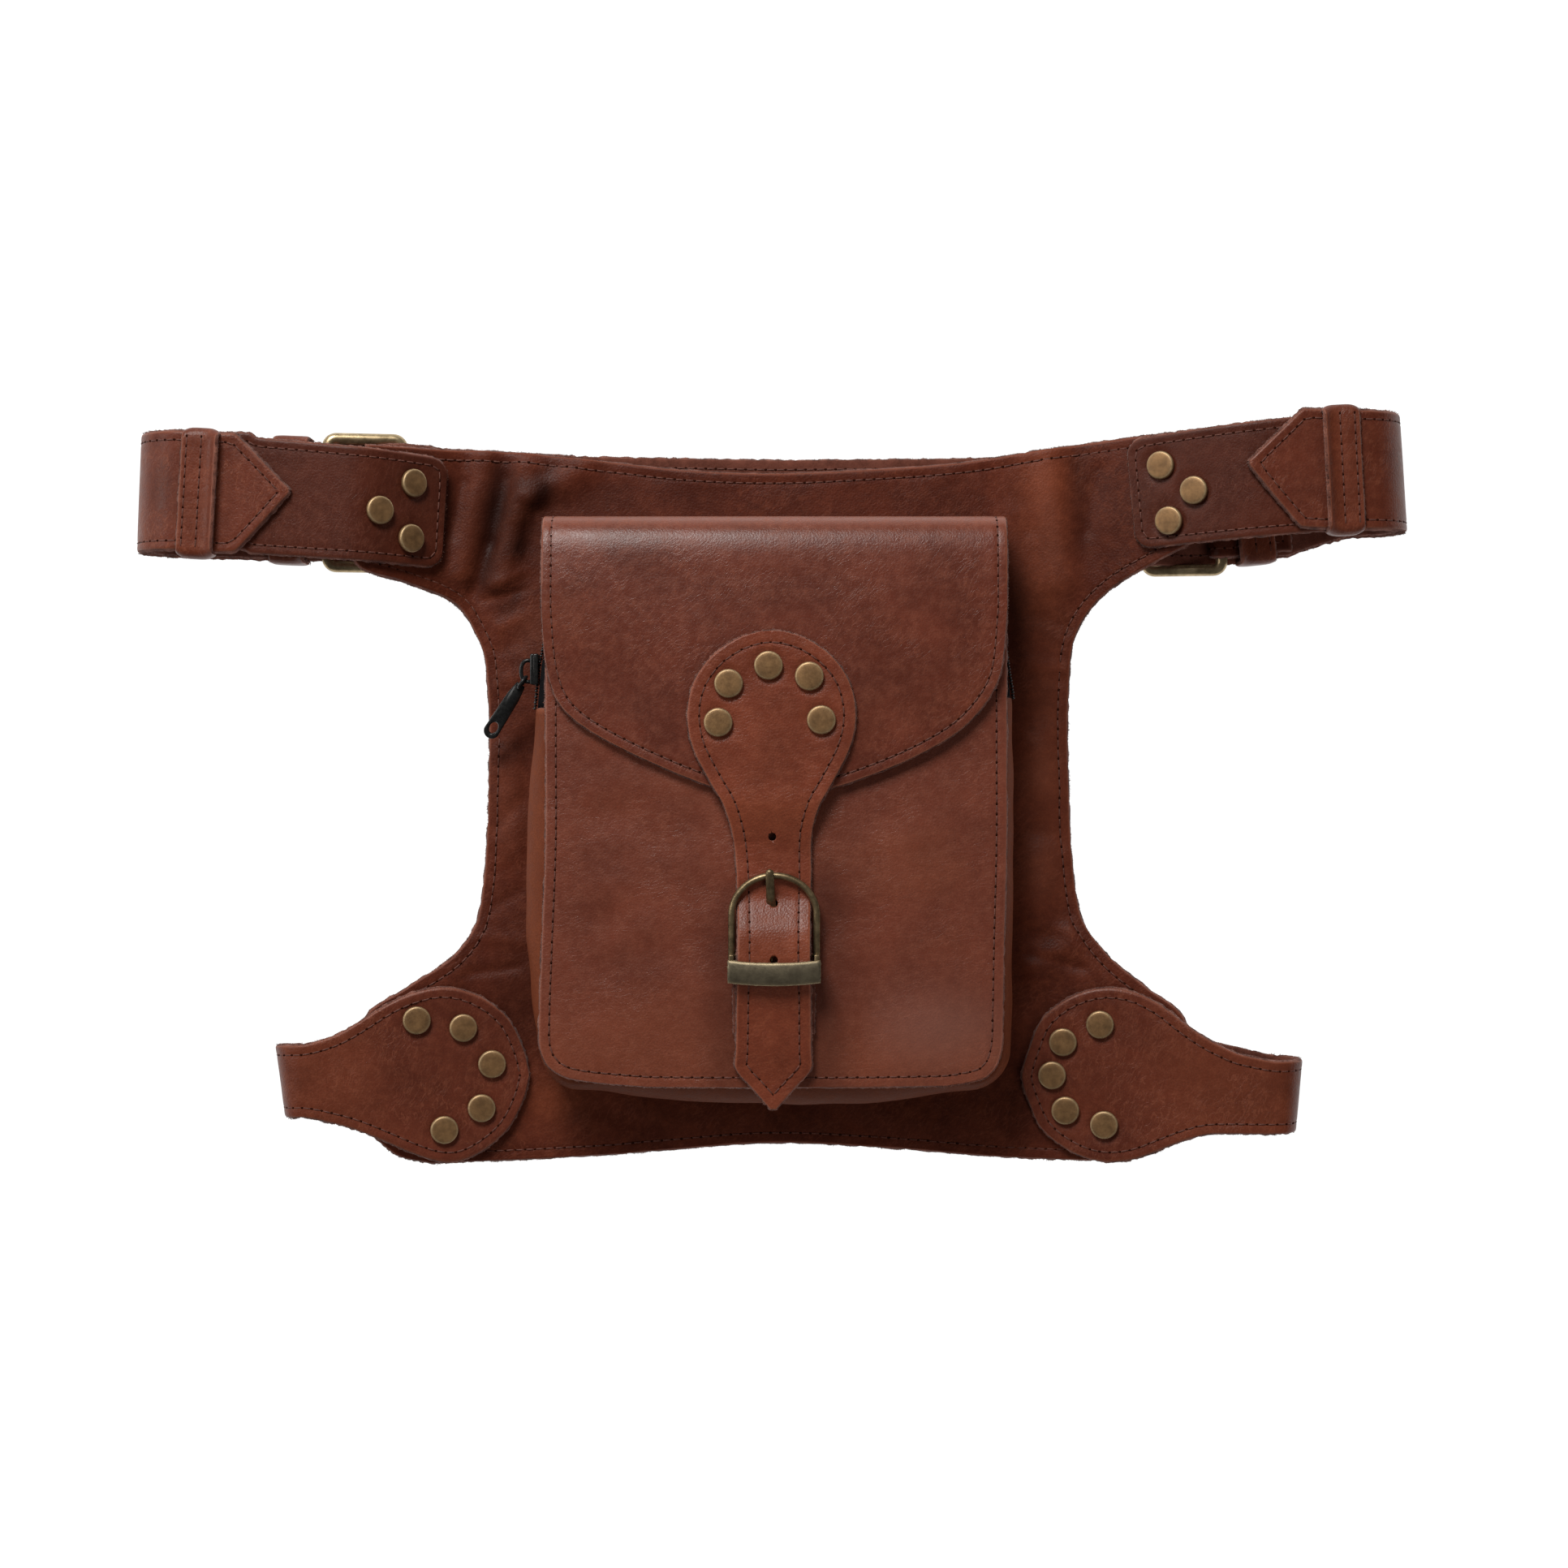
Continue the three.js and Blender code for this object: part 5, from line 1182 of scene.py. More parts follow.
front_steps = np.hypot(np.diff(FRONT_ROWS[:, 0]), np.diff(FRONT_ROWS[:, 1]))
front_y, front_left, front_right = rail(FRONT_ROWS, front_steps)(spread(132, 0.6)).T[..., None]
front_x = mix(front_left, front_right, spread(116, 0.7))
sag = 0.5 * (1 - ((front_x - 1) / 60) ** 2) * ease((-90 - front_y) / 3)
front_y = front_y - sag
front_middle = np.stack([front_x, front_y, FRONT_RIM + crown(front_x, front_y)], axis=-1)
slack = ease((front_x + 68) / 16) * ease((70 - front_x) / 16) * ease((front_y + 92) / 12)
wander = ripples(front_x / 22, front_y / 22, 21)
front_drop = 1.5 * ease((front_x - front_y - 120) / 55)
front_waves = 0.42 * ripples(front_x / 26, front_y / 9 + wander, 3)
front_creases = 0.12 * ripples(front_x / 9 + wander, front_y / 3.2, 8)
front_relief = slack * (front_waves + front_creases) - front_drop
front_grain = tanned(
    "front_grain", deep=(0.112, 0.0255, 0.0128), middle_tone=(0.15, 0.0355, 0.018), warm=(0.22, 0.06, 0.027),
    pebble=0.75, cracks=0.9, shine=0.38, gleam=0.46, lie=12,
)
front_pull = 0.3 * np.exp(-((front_y + 88) / 16) ** 2) + 0.25 * ease((front_relief - 0.05) / 0.5)
# Painted sheen towards the front's lower right corner, and painted shade in strips on both sides of the
# tongue.
front_painted_light = 0.34 * np.exp(-((front_x - 52) / 22) ** 2 - ((front_y + 77) / 12) ** 2)
front_painted_light -= 0.34 * np.exp(-((front_x + 15) / 7) ** 2) * ease((-30 - front_y) / 30)
front_painted_light -= 0.38 * np.exp(-((front_x - 18) / 8) ** 2) * ease((-14 - front_y) / 20)
pocket_front = hide(
    "pocket_front_hide", front_middle, FRONT_THICK, [front_grain, *trimmings], seam=FRONT_SEAM,
    relief=front_relief, pull=front_pull, painted_light=front_painted_light, fray=0.7,
)
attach(pocket_front, "bag")
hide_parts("pocket_front")

# Flap
# A thick sheet that rises behind the pocket, bends over its top and hangs over the front in a broad
# point. The bend is stretched and shows paler; the front edge is sewn and left raw.
FLAP_THICK = 2.0
FLAP_FACE = 3.4
FLAP_FROM = 65.0
FLAP_SEAM = 2.9
FLAP_EDGE = np.array([
    (-73.1, 56), (-71.4, 37.5), (-67.5, 26.4), (-59.7, 18.9), (-43.2, 9.8), (-18.2, -0.6), (0.3, -5.6),
    (19.6, -0.6), (35.6, 5), (49.2, 11.2), (60.3, 18.2), (68.3, 27), (72.6, 36), (74.8, 56),
])
FLAP_BACK = np.array([
    (76, 6.5), (81.5, 6.5), (83.9, 7.3), (85.2, 9.6), (85.6, 28), (85.2, 33), (83.7, 36.9), (80.8, 39.5),
    (76.5, 41), (71, 41.8), (65, 42.2),
])


def steps_of(rows):
    """How far each row's point is from the next one."""
    return np.linalg.norm(np.diff(rows, axis=0), axis=1)


edge_x, edge_y = rail(FLAP_EDGE, steps_of(FLAP_EDGE))(spread(120, 0.35)).T
back_y, back_z = rail(FLAP_BACK, steps_of(FLAP_BACK))(np.linspace(0, 1, 60)).T
face_rise = FRONT_RIM + FLAP_FACE - back_z[-1] + crown(edge_x, FLAP_FROM)
bend_lift = face_rise * ease((back_z - 30) / 12)[:, None]
back_grid = np.stack(np.broadcast_arrays(edge_x, back_y[:, None], back_z[:, None] + bend_lift), axis=-1)
drop = 0.03 + 0.97 * (1 - (1 - np.linspace(0, 1, 80)) ** 1.7)
face_y = mix(FLAP_FROM, edge_y, drop[:, None])
face_x = np.broadcast_to(edge_x, face_y.shape)
face_z = FRONT_RIM + FLAP_FACE + crown(face_x, face_y)
flap_middle = np.vstack([back_grid, np.stack([face_x, face_y, face_z], axis=-1)])
flap_x, flap_y, flap_z = np.moveaxis(flap_middle, 2, 0)
on_face = ease((80 - flap_y) / 14) * ease((flap_z - 36) / 4)
flap_relief = on_face * 0.3 * ripples(flap_x / 20, flap_y / 13, 14)
flap_pull = 0.5 * np.exp(-((flap_y - 85) / 3.4) ** 2) + 0.12 * ease((flap_relief - 0.05) / 0.3)
flap_grain = tanned(
    "flap_grain", deep=(0.085, 0.0175, 0.0085), middle_tone=(0.12, 0.0255, 0.0125), warm=(0.24, 0.062, 0.026),
    pebble=0.5, cracks=0.85, shine=0.37, gleam=0.38, lie=50,
)


def flap_hem(line):
    """Where the flap's seam runs: round its front, up to the bend."""
    return (line[:, 2] > 30) & (line[:, 1] < 86)


flap = hide(
    "pocket_flap_hide", flap_middle, FLAP_THICK, [flap_grain, *trimmings], seam=FLAP_SEAM,
    sewn=flap_hem, relief=flap_relief, pull=flap_pull, fray=0.8,
)
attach(flap, "bag")
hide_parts("pocket_flap")

# Tongue
# A round-headed strap riveted to the flap, sewn all round. It runs down through its buckle, bulges over
# the heel bar and ends in a point, with punched holes to fasten it tighter or looser.
TONGUE_THICK = 2.2
TONGUE_SEAM = 3.6
HOLE_RADIUS = 1.25
HOLE_PLACES = (-16.3, -37.4, -55.1)
# Each row is a line across the tongue: y, half width, lift above the pocket front.
TONGUE = np.array([
    (48.9, 0.4, 4.95), (48.4, 4.5, 4.95), (46, 11.4, 4.95), (40, 19.6, 4.95), (31.5, 24.9, 4.95),
    (21.5, 26.5, 4.95), (12, 24.7, 4.95), (0.1, 18.7, 4.95), (-6.3, 15, 4.9), (-13.5, 12.8, 3.1),
    (-20, 12, 1.75), (-29, 11.7, 1.65), (-36, 11.5, 1.8), (-41, 11.4, 3.9), (-46.5, 11.3, 6.4),
    (-54, 11.3, 7.6), (-59, 11.3, 7.5), (-66, 11.6, 5.5), (-76, 11.7, 3.6), (-84, 11.8, 3.1),
    (-90, 11.8, 2.4), (-96.4, 6.4, 1.8), (-102.9, 0.8, 1.5),
])
TONGUE_RIVETS = [(-13.6, 32.2), (-1.0, 37.9), (11.9, 34.5), (-16.9, 19.9), (15.7, 20.7)]
tongue_shift = curve([(50, 0), (-10, 0), (-30, 0.7), (-103, 0.5)])
tongue_lift = curve([(y, lift) for y, _, lift in TONGUE])


def buckle_top(y):
    """Height of the pocket front under the tongue's middle."""
    return front_top(0.8, np.maximum(y, -94))


tongue_steps = np.hypot(*np.diff(TONGUE[:, :2], axis=0).T)
tongue_y, tongue_half, _ = rail(TONGUE, tongue_steps)(spread(190, 0.35)).T[..., None]
tongue_x = tongue_shift(tongue_y) + tongue_half * (2 * spread(46, 0.6) - 1)
tongue_y = np.broadcast_to(tongue_y, tongue_x.shape)
tongue_base = mix(buckle_top(tongue_y), front_top(tongue_x, tongue_y), ease((tongue_y + 14) / 8))
tongue_middle = np.stack([tongue_x, tongue_y, tongue_base + tongue_lift(tongue_y)], axis=-1)
tongue_pull = 0.2 * np.exp(-((tongue_y + 52) / 9) ** 2) + 0.2 * np.exp(-((tongue_y + 9) / 7) ** 2)
tongue_neck = np.exp(-((tongue_y + 22) / 8) ** 2) * ease((12 - np.abs(tongue_x - 0.7)) / 3)
tongue_waves = 0.12 * ripples(tongue_x / 9, tongue_y / 9, 31)
tongue_wrinkles = 0.2 * tongue_neck * ripples(tongue_x / 9, tongue_y / 1.2, 33)
tongue_relief = tongue_waves + tongue_wrinkles
tongue_dents = [(x, y, front_top(x, y) + float(tongue_lift(y))) for x, y in TONGUE_RIVETS]
holes = [
    ((float(tongue_shift(y)), y, float(buckle_top(y) + tongue_lift(y))), (0, 0, 1), HOLE_RADIUS)
    for y in HOLE_PLACES
]
tongue_grain = tanned(
    "tongue_grain", deep=(0.12, 0.026, 0.012), middle_tone=(0.168, 0.0375, 0.0175), warm=(0.27, 0.07, 0.029),
    pebble=0.9, cracks=0.9, shine=0.38, gleam=0.3, lie=8,
)
tongue = hide(
    "flap_tongue_hide", tongue_middle, TONGUE_THICK, [tongue_grain, *trimmings], seam=TONGUE_SEAM,
    relief=tongue_relief, pull=tongue_pull, dents=tongue_dents, punched=holes,
)
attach(tongue, "bag")
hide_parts("flap_tongue")

# Tongue buckle
# A wire arch with a heel bar and a stamped sleeve over the tongue, soldered into one and patinated. Its
# prong is a tapering bar curled round the heel bar, and a short folded strap holds it to the pocket.
WIRE_RADIUS = 1.1
BUCKLE = {"middle": 0.8, "half": 13.5, "arch": -28.6, "heel": -54, "sleeve top": -55.2, "sleeve low": -62.1}
SLEEVE_RISE = 9.6
SLEEVE_THICK = 1.3
SLEEVE_ROWS = 15
SLEEVE_COLUMNS = 41
CHAPE_THICK = 1.4
PRONG_X = -0.4
PRONG_RADIUS = 0.9


def antique_brass(name, dark, light, metal, roughness):
    """Brass with a brown patina, rubbed bright where it stands out."""
    material, tree, surface = shader(name)
    size = millimetres(tree)
    stain = ramp(tree, cloudy(tree, size, 0.3, 5.0, 0.65), 0.34, 0.66)
    pits = cloudy(tree, size, 1.6, 4.0, 0.7)
    patina = blend(tree, stain, (*dark, 1), (*light, 1))
    rubbed = reckon(tree, "MULTIPLY", marked(tree, "rubbed"), pits)
    join(tree, surface, {
        "Base Color": blend(tree, rubbed, patina, (0.62, 0.47, 0.27, 1)),
        "Roughness": ramp(tree, pits, 0.3, 0.7, roughness - 0.08, roughness + 0.1),
        "Normal": emboss(tree, pits, 0.15, 0.0002), "Metallic": metal,
    })
    return material


wire_brass = antique_brass("wire_brass", (0.29, 0.215, 0.12), (0.6, 0.465, 0.275), 0.85, 0.36)
dull_brass = antique_brass("dull_brass", (0.125, 0.088, 0.046), (0.31, 0.23, 0.125), 0.8, 0.38)
sleeve_brass = antique_brass("sleeve_brass", (0.115, 0.094, 0.062), (0.19, 0.158, 0.102), 0.75, 0.42)
heel_height = float(buckle_top(BUCKLE["heel"])) + GAP + CHAPE_THICK + SLIP + WIRE_RADIUS
arch_top = float(buckle_top(BUCKLE["arch"]) + tongue_lift(BUCKLE["arch"])) + TONGUE_THICK / 2
arch_height = arch_top + GAP + WIRE_RADIUS
sleeve_height = float(buckle_top(BUCKLE["heel"])) + SLEEVE_RISE
arch_foot = BUCKLE["arch"] - BUCKLE["half"] * 0.92
leg_rise = curve([
    (BUCKLE["heel"] - 2, heel_height), (-46, mix(heel_height, arch_height, 0.6)), (arch_foot, arch_height),
])
leg_y = np.linspace(BUCKLE["heel"] - 2, arch_foot, 20)[:-1]
leg = np.stack([np.full(19, -BUCKLE["half"]), leg_y, leg_rise(leg_y)], axis=-1)
bow = np.radians(np.linspace(180, 0, 49))
bow_y = arch_foot + 0.92 * BUCKLE["half"] * np.sin(bow)
arch = np.stack([BUCKLE["half"] * np.cos(bow), bow_y, np.full(49, arch_height)], axis=-1)
arch_line = np.vstack([leg, arch, leg[::-1] * (-1, 1, 1)]) + (BUCKLE["middle"], 0, 0)
metal = Pile()
rod(metal, arch_line, WIRE_RADIUS, 20)
heel_x = np.linspace(-BUCKLE["half"], BUCKLE["half"], 12) + BUCKLE["middle"]
rod(metal, [(x, BUCKLE["heel"], heel_height) for x in heel_x], blunt(12, WIRE_RADIUS, 0.1), 16)
for way in (-1, 1):
    post_x = BUCKLE["middle"] + way * BUCKLE["half"]
    soft_block(
        metal, (post_x - 0.8, BUCKLE["sleeve low"] + 1.5, heel_height - 0.8),
        (post_x + 0.8, BUCKLE["heel"] + 0.6, sleeve_height), 0.3,
    )
sleeve_share = np.linspace(-1, 1, SLEEVE_COLUMNS)[None, :]
sleeve_y = np.linspace(BUCKLE["sleeve top"], BUCKLE["sleeve low"], SLEEVE_ROWS)[:, None]
sleeve_round = np.sin(math.pi * np.linspace(0, 1, SLEEVE_ROWS))[:, None] ** 0.7
bend = 1 - sleeve_share ** 2
sleeve_middle = np.stack(np.broadcast_arrays(
    BUCKLE["middle"] + sleeve_share * (BUCKLE["half"] + 1.1),
    sleeve_y - 0.9 * bend,
    sleeve_height + 0.6 * bend + 0.5 * sleeve_round - 0.35,
), axis=-1)
sleeve = hide("tongue_buckle_sleeve", sleeve_middle, SLEEVE_THICK, [sleeve_brass] * 5, fray=0.0, bevel=0.0)
sleeve_row = np.arange(SLEEVE_ROWS)
sleeve_rim = np.minimum(sleeve_row, sleeve_row[::-1])
sleeve_rubbed = np.repeat(np.exp(-(sleeve_rim / 0.9) ** 2), SLEEVE_COLUMNS)
sleeve_glow = np.ones(len(sleeve.data.vertices))
sleeve_glow[:len(sleeve_rubbed)] = sleeve_rubbed
mark(sleeve.data, "rubbed", sleeve_glow)
buckle_wire = solid_piece("tongue_buckle_wire", metal, [dull_brass])
for piece in (sleeve, buckle_wire):
    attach(piece, "bag")
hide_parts("tongue_buckle")

ring_reach = WIRE_RADIUS + SLIP + PRONG_RADIUS
prong_top = arch_height + WIRE_RADIUS + SLIP + PRONG_RADIUS
prong_line = rail(np.array([
    (PRONG_X, BUCKLE["heel"] + ring_reach - 0.3, heel_height + 0.1),
    (PRONG_X + 0.2, -45, heel_height - 0.3),
    (PRONG_X + 0.3, -41, heel_height - 1.2),
    (PRONG_X + 0.3, -38, heel_height - 0.5),
    (PRONG_X + 0.1, -35.8, heel_height + 1.1),
    (PRONG_X, -32.6, heel_height + 2.3),
    (PRONG_X - 0.2, BUCKLE["arch"], prong_top),
    (PRONG_X - 0.2, BUCKLE["arch"] + 2.2, prong_top - 0.1),
]), [8, 4, 3.2, 2.8, 3.4, 4, 2.2])(np.linspace(0, 1, 48))
prong = Pile()
rod(prong, prong_line, mix(1.25, 0.85, np.linspace(0, 1, 48)) * blunt(48, 1.0, 0.03), 14, False, (1, 0, 0))
curl = circle(24)
curl_y = BUCKLE["heel"] + ring_reach * np.cos(curl)
curl_z = heel_height + ring_reach * np.sin(curl)
rod(prong, np.stack([np.full(24, PRONG_X), curl_y, curl_z], axis=-1), PRONG_RADIUS, 12, True, (1, 0, 0))
shank_middle = np.repeat(prong_line[:, 0], 14)
prong.points[0][:, 0] = mix(shank_middle, prong.points[0][:, 0], 1.5)
prong_piece = solid_piece("tongue_prong_bar", prong, [dull_brass])
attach(prong_piece, "bag")
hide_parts("tongue_prong")

chape_base = float(buckle_top(BUCKLE["heel"])) + GAP + CHAPE_THICK / 2
wrap = WIRE_RADIUS + SLIP + CHAPE_THICK / 2
wrap_turns = np.radians(np.linspace(-90, 90, 17))
wrap_rows = [
    (BUCKLE["heel"] + wrap * math.cos(turn), heel_height + wrap * math.sin(turn), 11.6) for turn in wrap_turns
]
over = chape_base + CHAPE_THICK + GAP
chape_rows = np.array([
    (-79, chape_base - 0.2, 12.6), (-66, chape_base, 12.9), (-57, chape_base, 11.8), *wrap_rows,
    (-58, chape_base + 2.7, 11.6), (-61, over, 11.8), (-66, over, 12),
])
chape_fine = walk(chape_rows, 0.7)
chape_share = 2 * spread(22, 0.4) - 1
chape_middle = np.stack(np.broadcast_arrays(
    0.7 + chape_fine[:, 2:3] * chape_share, chape_fine[:, 0:1], chape_fine[:, 1:2],
), axis=-1)
chape = hide("tongue_chape_hide", chape_middle, CHAPE_THICK, [tongue_grain, *trimmings], pull=0.2)
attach(chape, "bag")
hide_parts("tongue_chape")

# Belt strap
# One long strap behind the panel. At each side it passes through a buckle from behind, runs out to a
# fold, comes back over the front and ends in a sewn point held down by a keeper.
STRAP_THICK = 2.4
WING_GAP = 0.95
LAYER = STRAP_THICK + GAP
WING_LAYER = STRAP_THICK + WING_GAP
BELT_WIDTH = 37.6
BELT_MIDDLE = 88.2
BELT_SEAM = 2.6
BAR_RADIUS = 1.7
KEEPER_THICK = 1.5
BELT_PRONG_RADIUS = 1.0
FRONT_LEVEL = PANEL_BASE + WINGS["upper_left"]["rise"] + WING_LAYER + LAYER
FOLD_RADIUS = (FRONT_LEVEL - STRAP_THICK / 2) / 2
FOLD_LEVEL = STRAP_THICK / 2 + FOLD_RADIUS
REAR_LEVEL = KEEPER_THICK + GAP + STRAP_THICK / 2
RETURN_LEVEL = REAR_LEVEL + 2 * LAYER + 0.2
HEEL_LEVEL = REAR_LEVEL + LAYER + STRAP_THICK / 2 + SLIP + BAR_RADIUS
FAR_LEVEL = 2 * BELT_PRONG_RADIUS + 0.7 + BAR_RADIUS
OVER_FAR = FAR_LEVEL + BAR_RADIUS + GAP + STRAP_THICK / 2
SIDES = {
    "left": {
        "sign": -1, "wing": WINGS["upper_left"], "riveted": 109.6, "riveted_y": 88.9, "strap_turn": 3.4,
        "tip": 155.3, "tip_y": 94.4, "shoulder": 172.3, "front_y": 93.8, "front_turn": 0,
        "fold": 206.2, "fold_y": 94.8, "fold_turn": 2.8, "rear_y": 93.6, "rear_turn": 2.0,
        "front_keeper": 184.1, "keeper": 158.4, "keeper_shift": 0, "keeper_turn": 3.2,
        "heel": 146.1, "far": 122.2, "buckle_y": 93.0, "middle_y": 92.0,
    },
    "right": {
        "sign": 1, "wing": WINGS["upper_right"], "riveted": 119.3, "riveted_y": 95.2, "strap_turn": -5.4,
        "tip": 153.5, "tip_y": 103.6, "shoulder": 170.2, "front_y": 101.3, "front_turn": 1.0,
        "fold": 205.7, "fold_y": 101.4, "fold_turn": -4.2, "rear_y": 92.4, "rear_turn": -7.0,
        "front_keeper": 183.3, "keeper": 160.0, "keeper_shift": 2.5, "keeper_turn": -3.0,
        "heel": 147.8, "far": 123.6, "buckle_y": 91.8, "middle_y": 90.0,
    },
}


def soften(values, width):
    """Rows of numbers smoothed along their length, with both ends kept where they are."""
    reach = int(4 * width) + 1
    weights = np.exp(-0.5 * (np.arange(-reach, reach + 1) / width) ** 2)
    weights /= weights.sum()
    before = 2 * values[:1] - values[1:reach + 1][::-1]
    after = 2 * values[-1:] - values[-reach - 1:-1][::-1]
    longer = np.vstack([before, values, after])
    return np.stack([np.convolve(column, weights, "valid") for column in longer.T], axis=-1)


def strap_grid(rows, step, columns, blur, width_blur):
    """A strap's middle surface from rows of x, y, z, turn in plan and the reach of its two edges."""
    fine = walk(np.array(rows, float), step)
    fine[:, :4] = soften(fine[:, :4], blur / step)
    fine[:, 4:] = np.maximum(soften(fine[:, 4:], width_blur / step), 0.3)
    turn = np.radians(fine[:, 3])
    across = np.stack([np.sin(turn), np.cos(turn), np.zeros_like(turn)], axis=-1)
    shares = spread(columns, 0.6)[None, :, None]
    upper = fine[:, None, :3] + across[:, None] * fine[:, None, 4:5]
    lower = fine[:, None, :3] - across[:, None] * fine[:, None, 5:6]
    return mix(upper, lower, shares)


def fold_axis(side):
    """How far out the axis of a side's folds lies."""
    return side["fold"] - FOLD_RADIUS - STRAP_THICK / 2


def belt_half(side):
    """Half of the belt, from its pointed tip to the middle of the back."""
    rows = []
    full = BELT_WIDTH / 2

    def lay(out, y, z, turn, reach=full):
        rows.append((side["sign"] * out, y, z, turn, reach, reach))

    axis = fold_axis(side)
    lay(side["tip"], side["tip_y"], FRONT_LEVEL, side["front_turn"], 0.6)
    half_way = mix(side["tip"], side["shoulder"], 0.5)
    lay(half_way, mix(side["tip_y"], side["front_y"], 0.4), FRONT_LEVEL, side["front_turn"], full * 0.52)
    lay(side["shoulder"], mix(side["tip_y"], side["front_y"], 0.7), FRONT_LEVEL, side["front_turn"])
    lay(axis - 6, side["front_y"], FRONT_LEVEL, mix(side["front_turn"], side["fold_turn"], 0.5))
    for t in np.linspace(0, 1, 41):
        angle = math.pi * (0.5 - t)
        first = mix(side["front_turn"], side["fold_turn"], 0.7)
        last = mix(side["fold_turn"], side["rear_turn"], 0.3)
        out = axis + FOLD_RADIUS * math.cos(angle)
        lay(out, side["fold_y"], FOLD_LEVEL + FOLD_RADIUS * math.sin(angle), mix(first, last, t))
    rear_turn = mix(side["fold_turn"], side["rear_turn"], 0.5)
    for out, z, t in ((15, STRAP_THICK / 2, 0.45), (8, REAR_LEVEL, 0.75)):
        lay(side["keeper"] + out, mix(side["fold_y"], side["rear_y"], t), z, rear_turn)
    lay(side["heel"] + 3, side["rear_y"], REAR_LEVEL, rear_turn)
    through = side["rear_turn"] * 0.4
    lay(side["heel"] - 3, mix(side["rear_y"], side["buckle_y"], 0.4), REAR_LEVEL, through)
    lay(mix(side["heel"], side["far"], 0.5), side["buckle_y"], mix(REAR_LEVEL, OVER_FAR, 0.45), through)
    lay(side["far"] + 2, side["buckle_y"], OVER_FAR, through)
    lay(side["far"] - 2, side["buckle_y"], OVER_FAR, through)
    lay(side["far"] - 14, side["middle_y"], STRAP_THICK / 2, through)
    lay(60, mix(side["middle_y"], BELT_MIDDLE, 0.7), STRAP_THICK / 2, through)
    return rows


belt_rows = [
    *belt_half(SIDES["left"]),
    (0, BELT_MIDDLE, STRAP_THICK / 2, 0, BELT_WIDTH / 2, BELT_WIDTH / 2),
    *belt_half(SIDES["right"])[::-1],
]
belt_middle = strap_grid(belt_rows, 1.4, 28, 1.3, 0.8)
belt_x, belt_y = belt_middle[..., 0], belt_middle[..., 1]
belt_bend = ease((np.abs(belt_x) - 196) / 9)
strap_grain = tanned(
    "strap_grain", deep=(0.08, 0.017, 0.0082), middle_tone=(0.118, 0.0258, 0.0124), warm=(0.21, 0.054, 0.022),
    pebble=0.7, cracks=1.5, shine=0.4, gleam=0.26, lie=70,
)
belt = hide(
    "belt_strap_hide", belt_middle, STRAP_THICK, [strap_grain, *trimmings], seam=BELT_SEAM,
    relief=0.14 * ripples(belt_x / 11, belt_y / 11, 41), pull=0.35 * belt_bend, bevel=0.55, both_sides=True,
)
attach(belt, "bag")
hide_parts("belt_strap")

# Buckle straps
# A shorter strap on each side, riveted to the panel's upper corner. It folds inside the belt's own fold,
# runs back behind, wraps the heel bar of the belt buckle and is sewn down on itself.
BUCKLE_STRAP_WIDTH = 37.2
RIVETED_WIDTH = 35.4
CORNER_ROUND = 5.0
UPPER_RIVETS = {
    "left": [(-116.6, 98.2), (-126.4, 88.8), (-117.4, 80.2)],
    "right": [(126.7, 104.2), (136.8, 95.6), (129.2, 86.1)],
}


def over_wing(wing, x, away):
    """A place one distance out from a wing's curve, along its normal."""
    rise = (wing_height(wing, x + 0.1) - wing_height(wing, x - 0.1)) / 0.2
    normal = unit(np.array([-rise, 0.0, 1.0]))
    return np.array([x, 0.0, wing_height(wing, x)]) + normal * away, normal


def wing_rivet(wing, x, y, away):
    """Where a rivet at x and y in plan meets the strap over a wing, and which way it points."""
    _, guess = over_wing(wing, x, away)
    place, normal = over_wing(wing, x - guess[0] * away, away)
    return np.array([place[0], y, place[2]]), normal


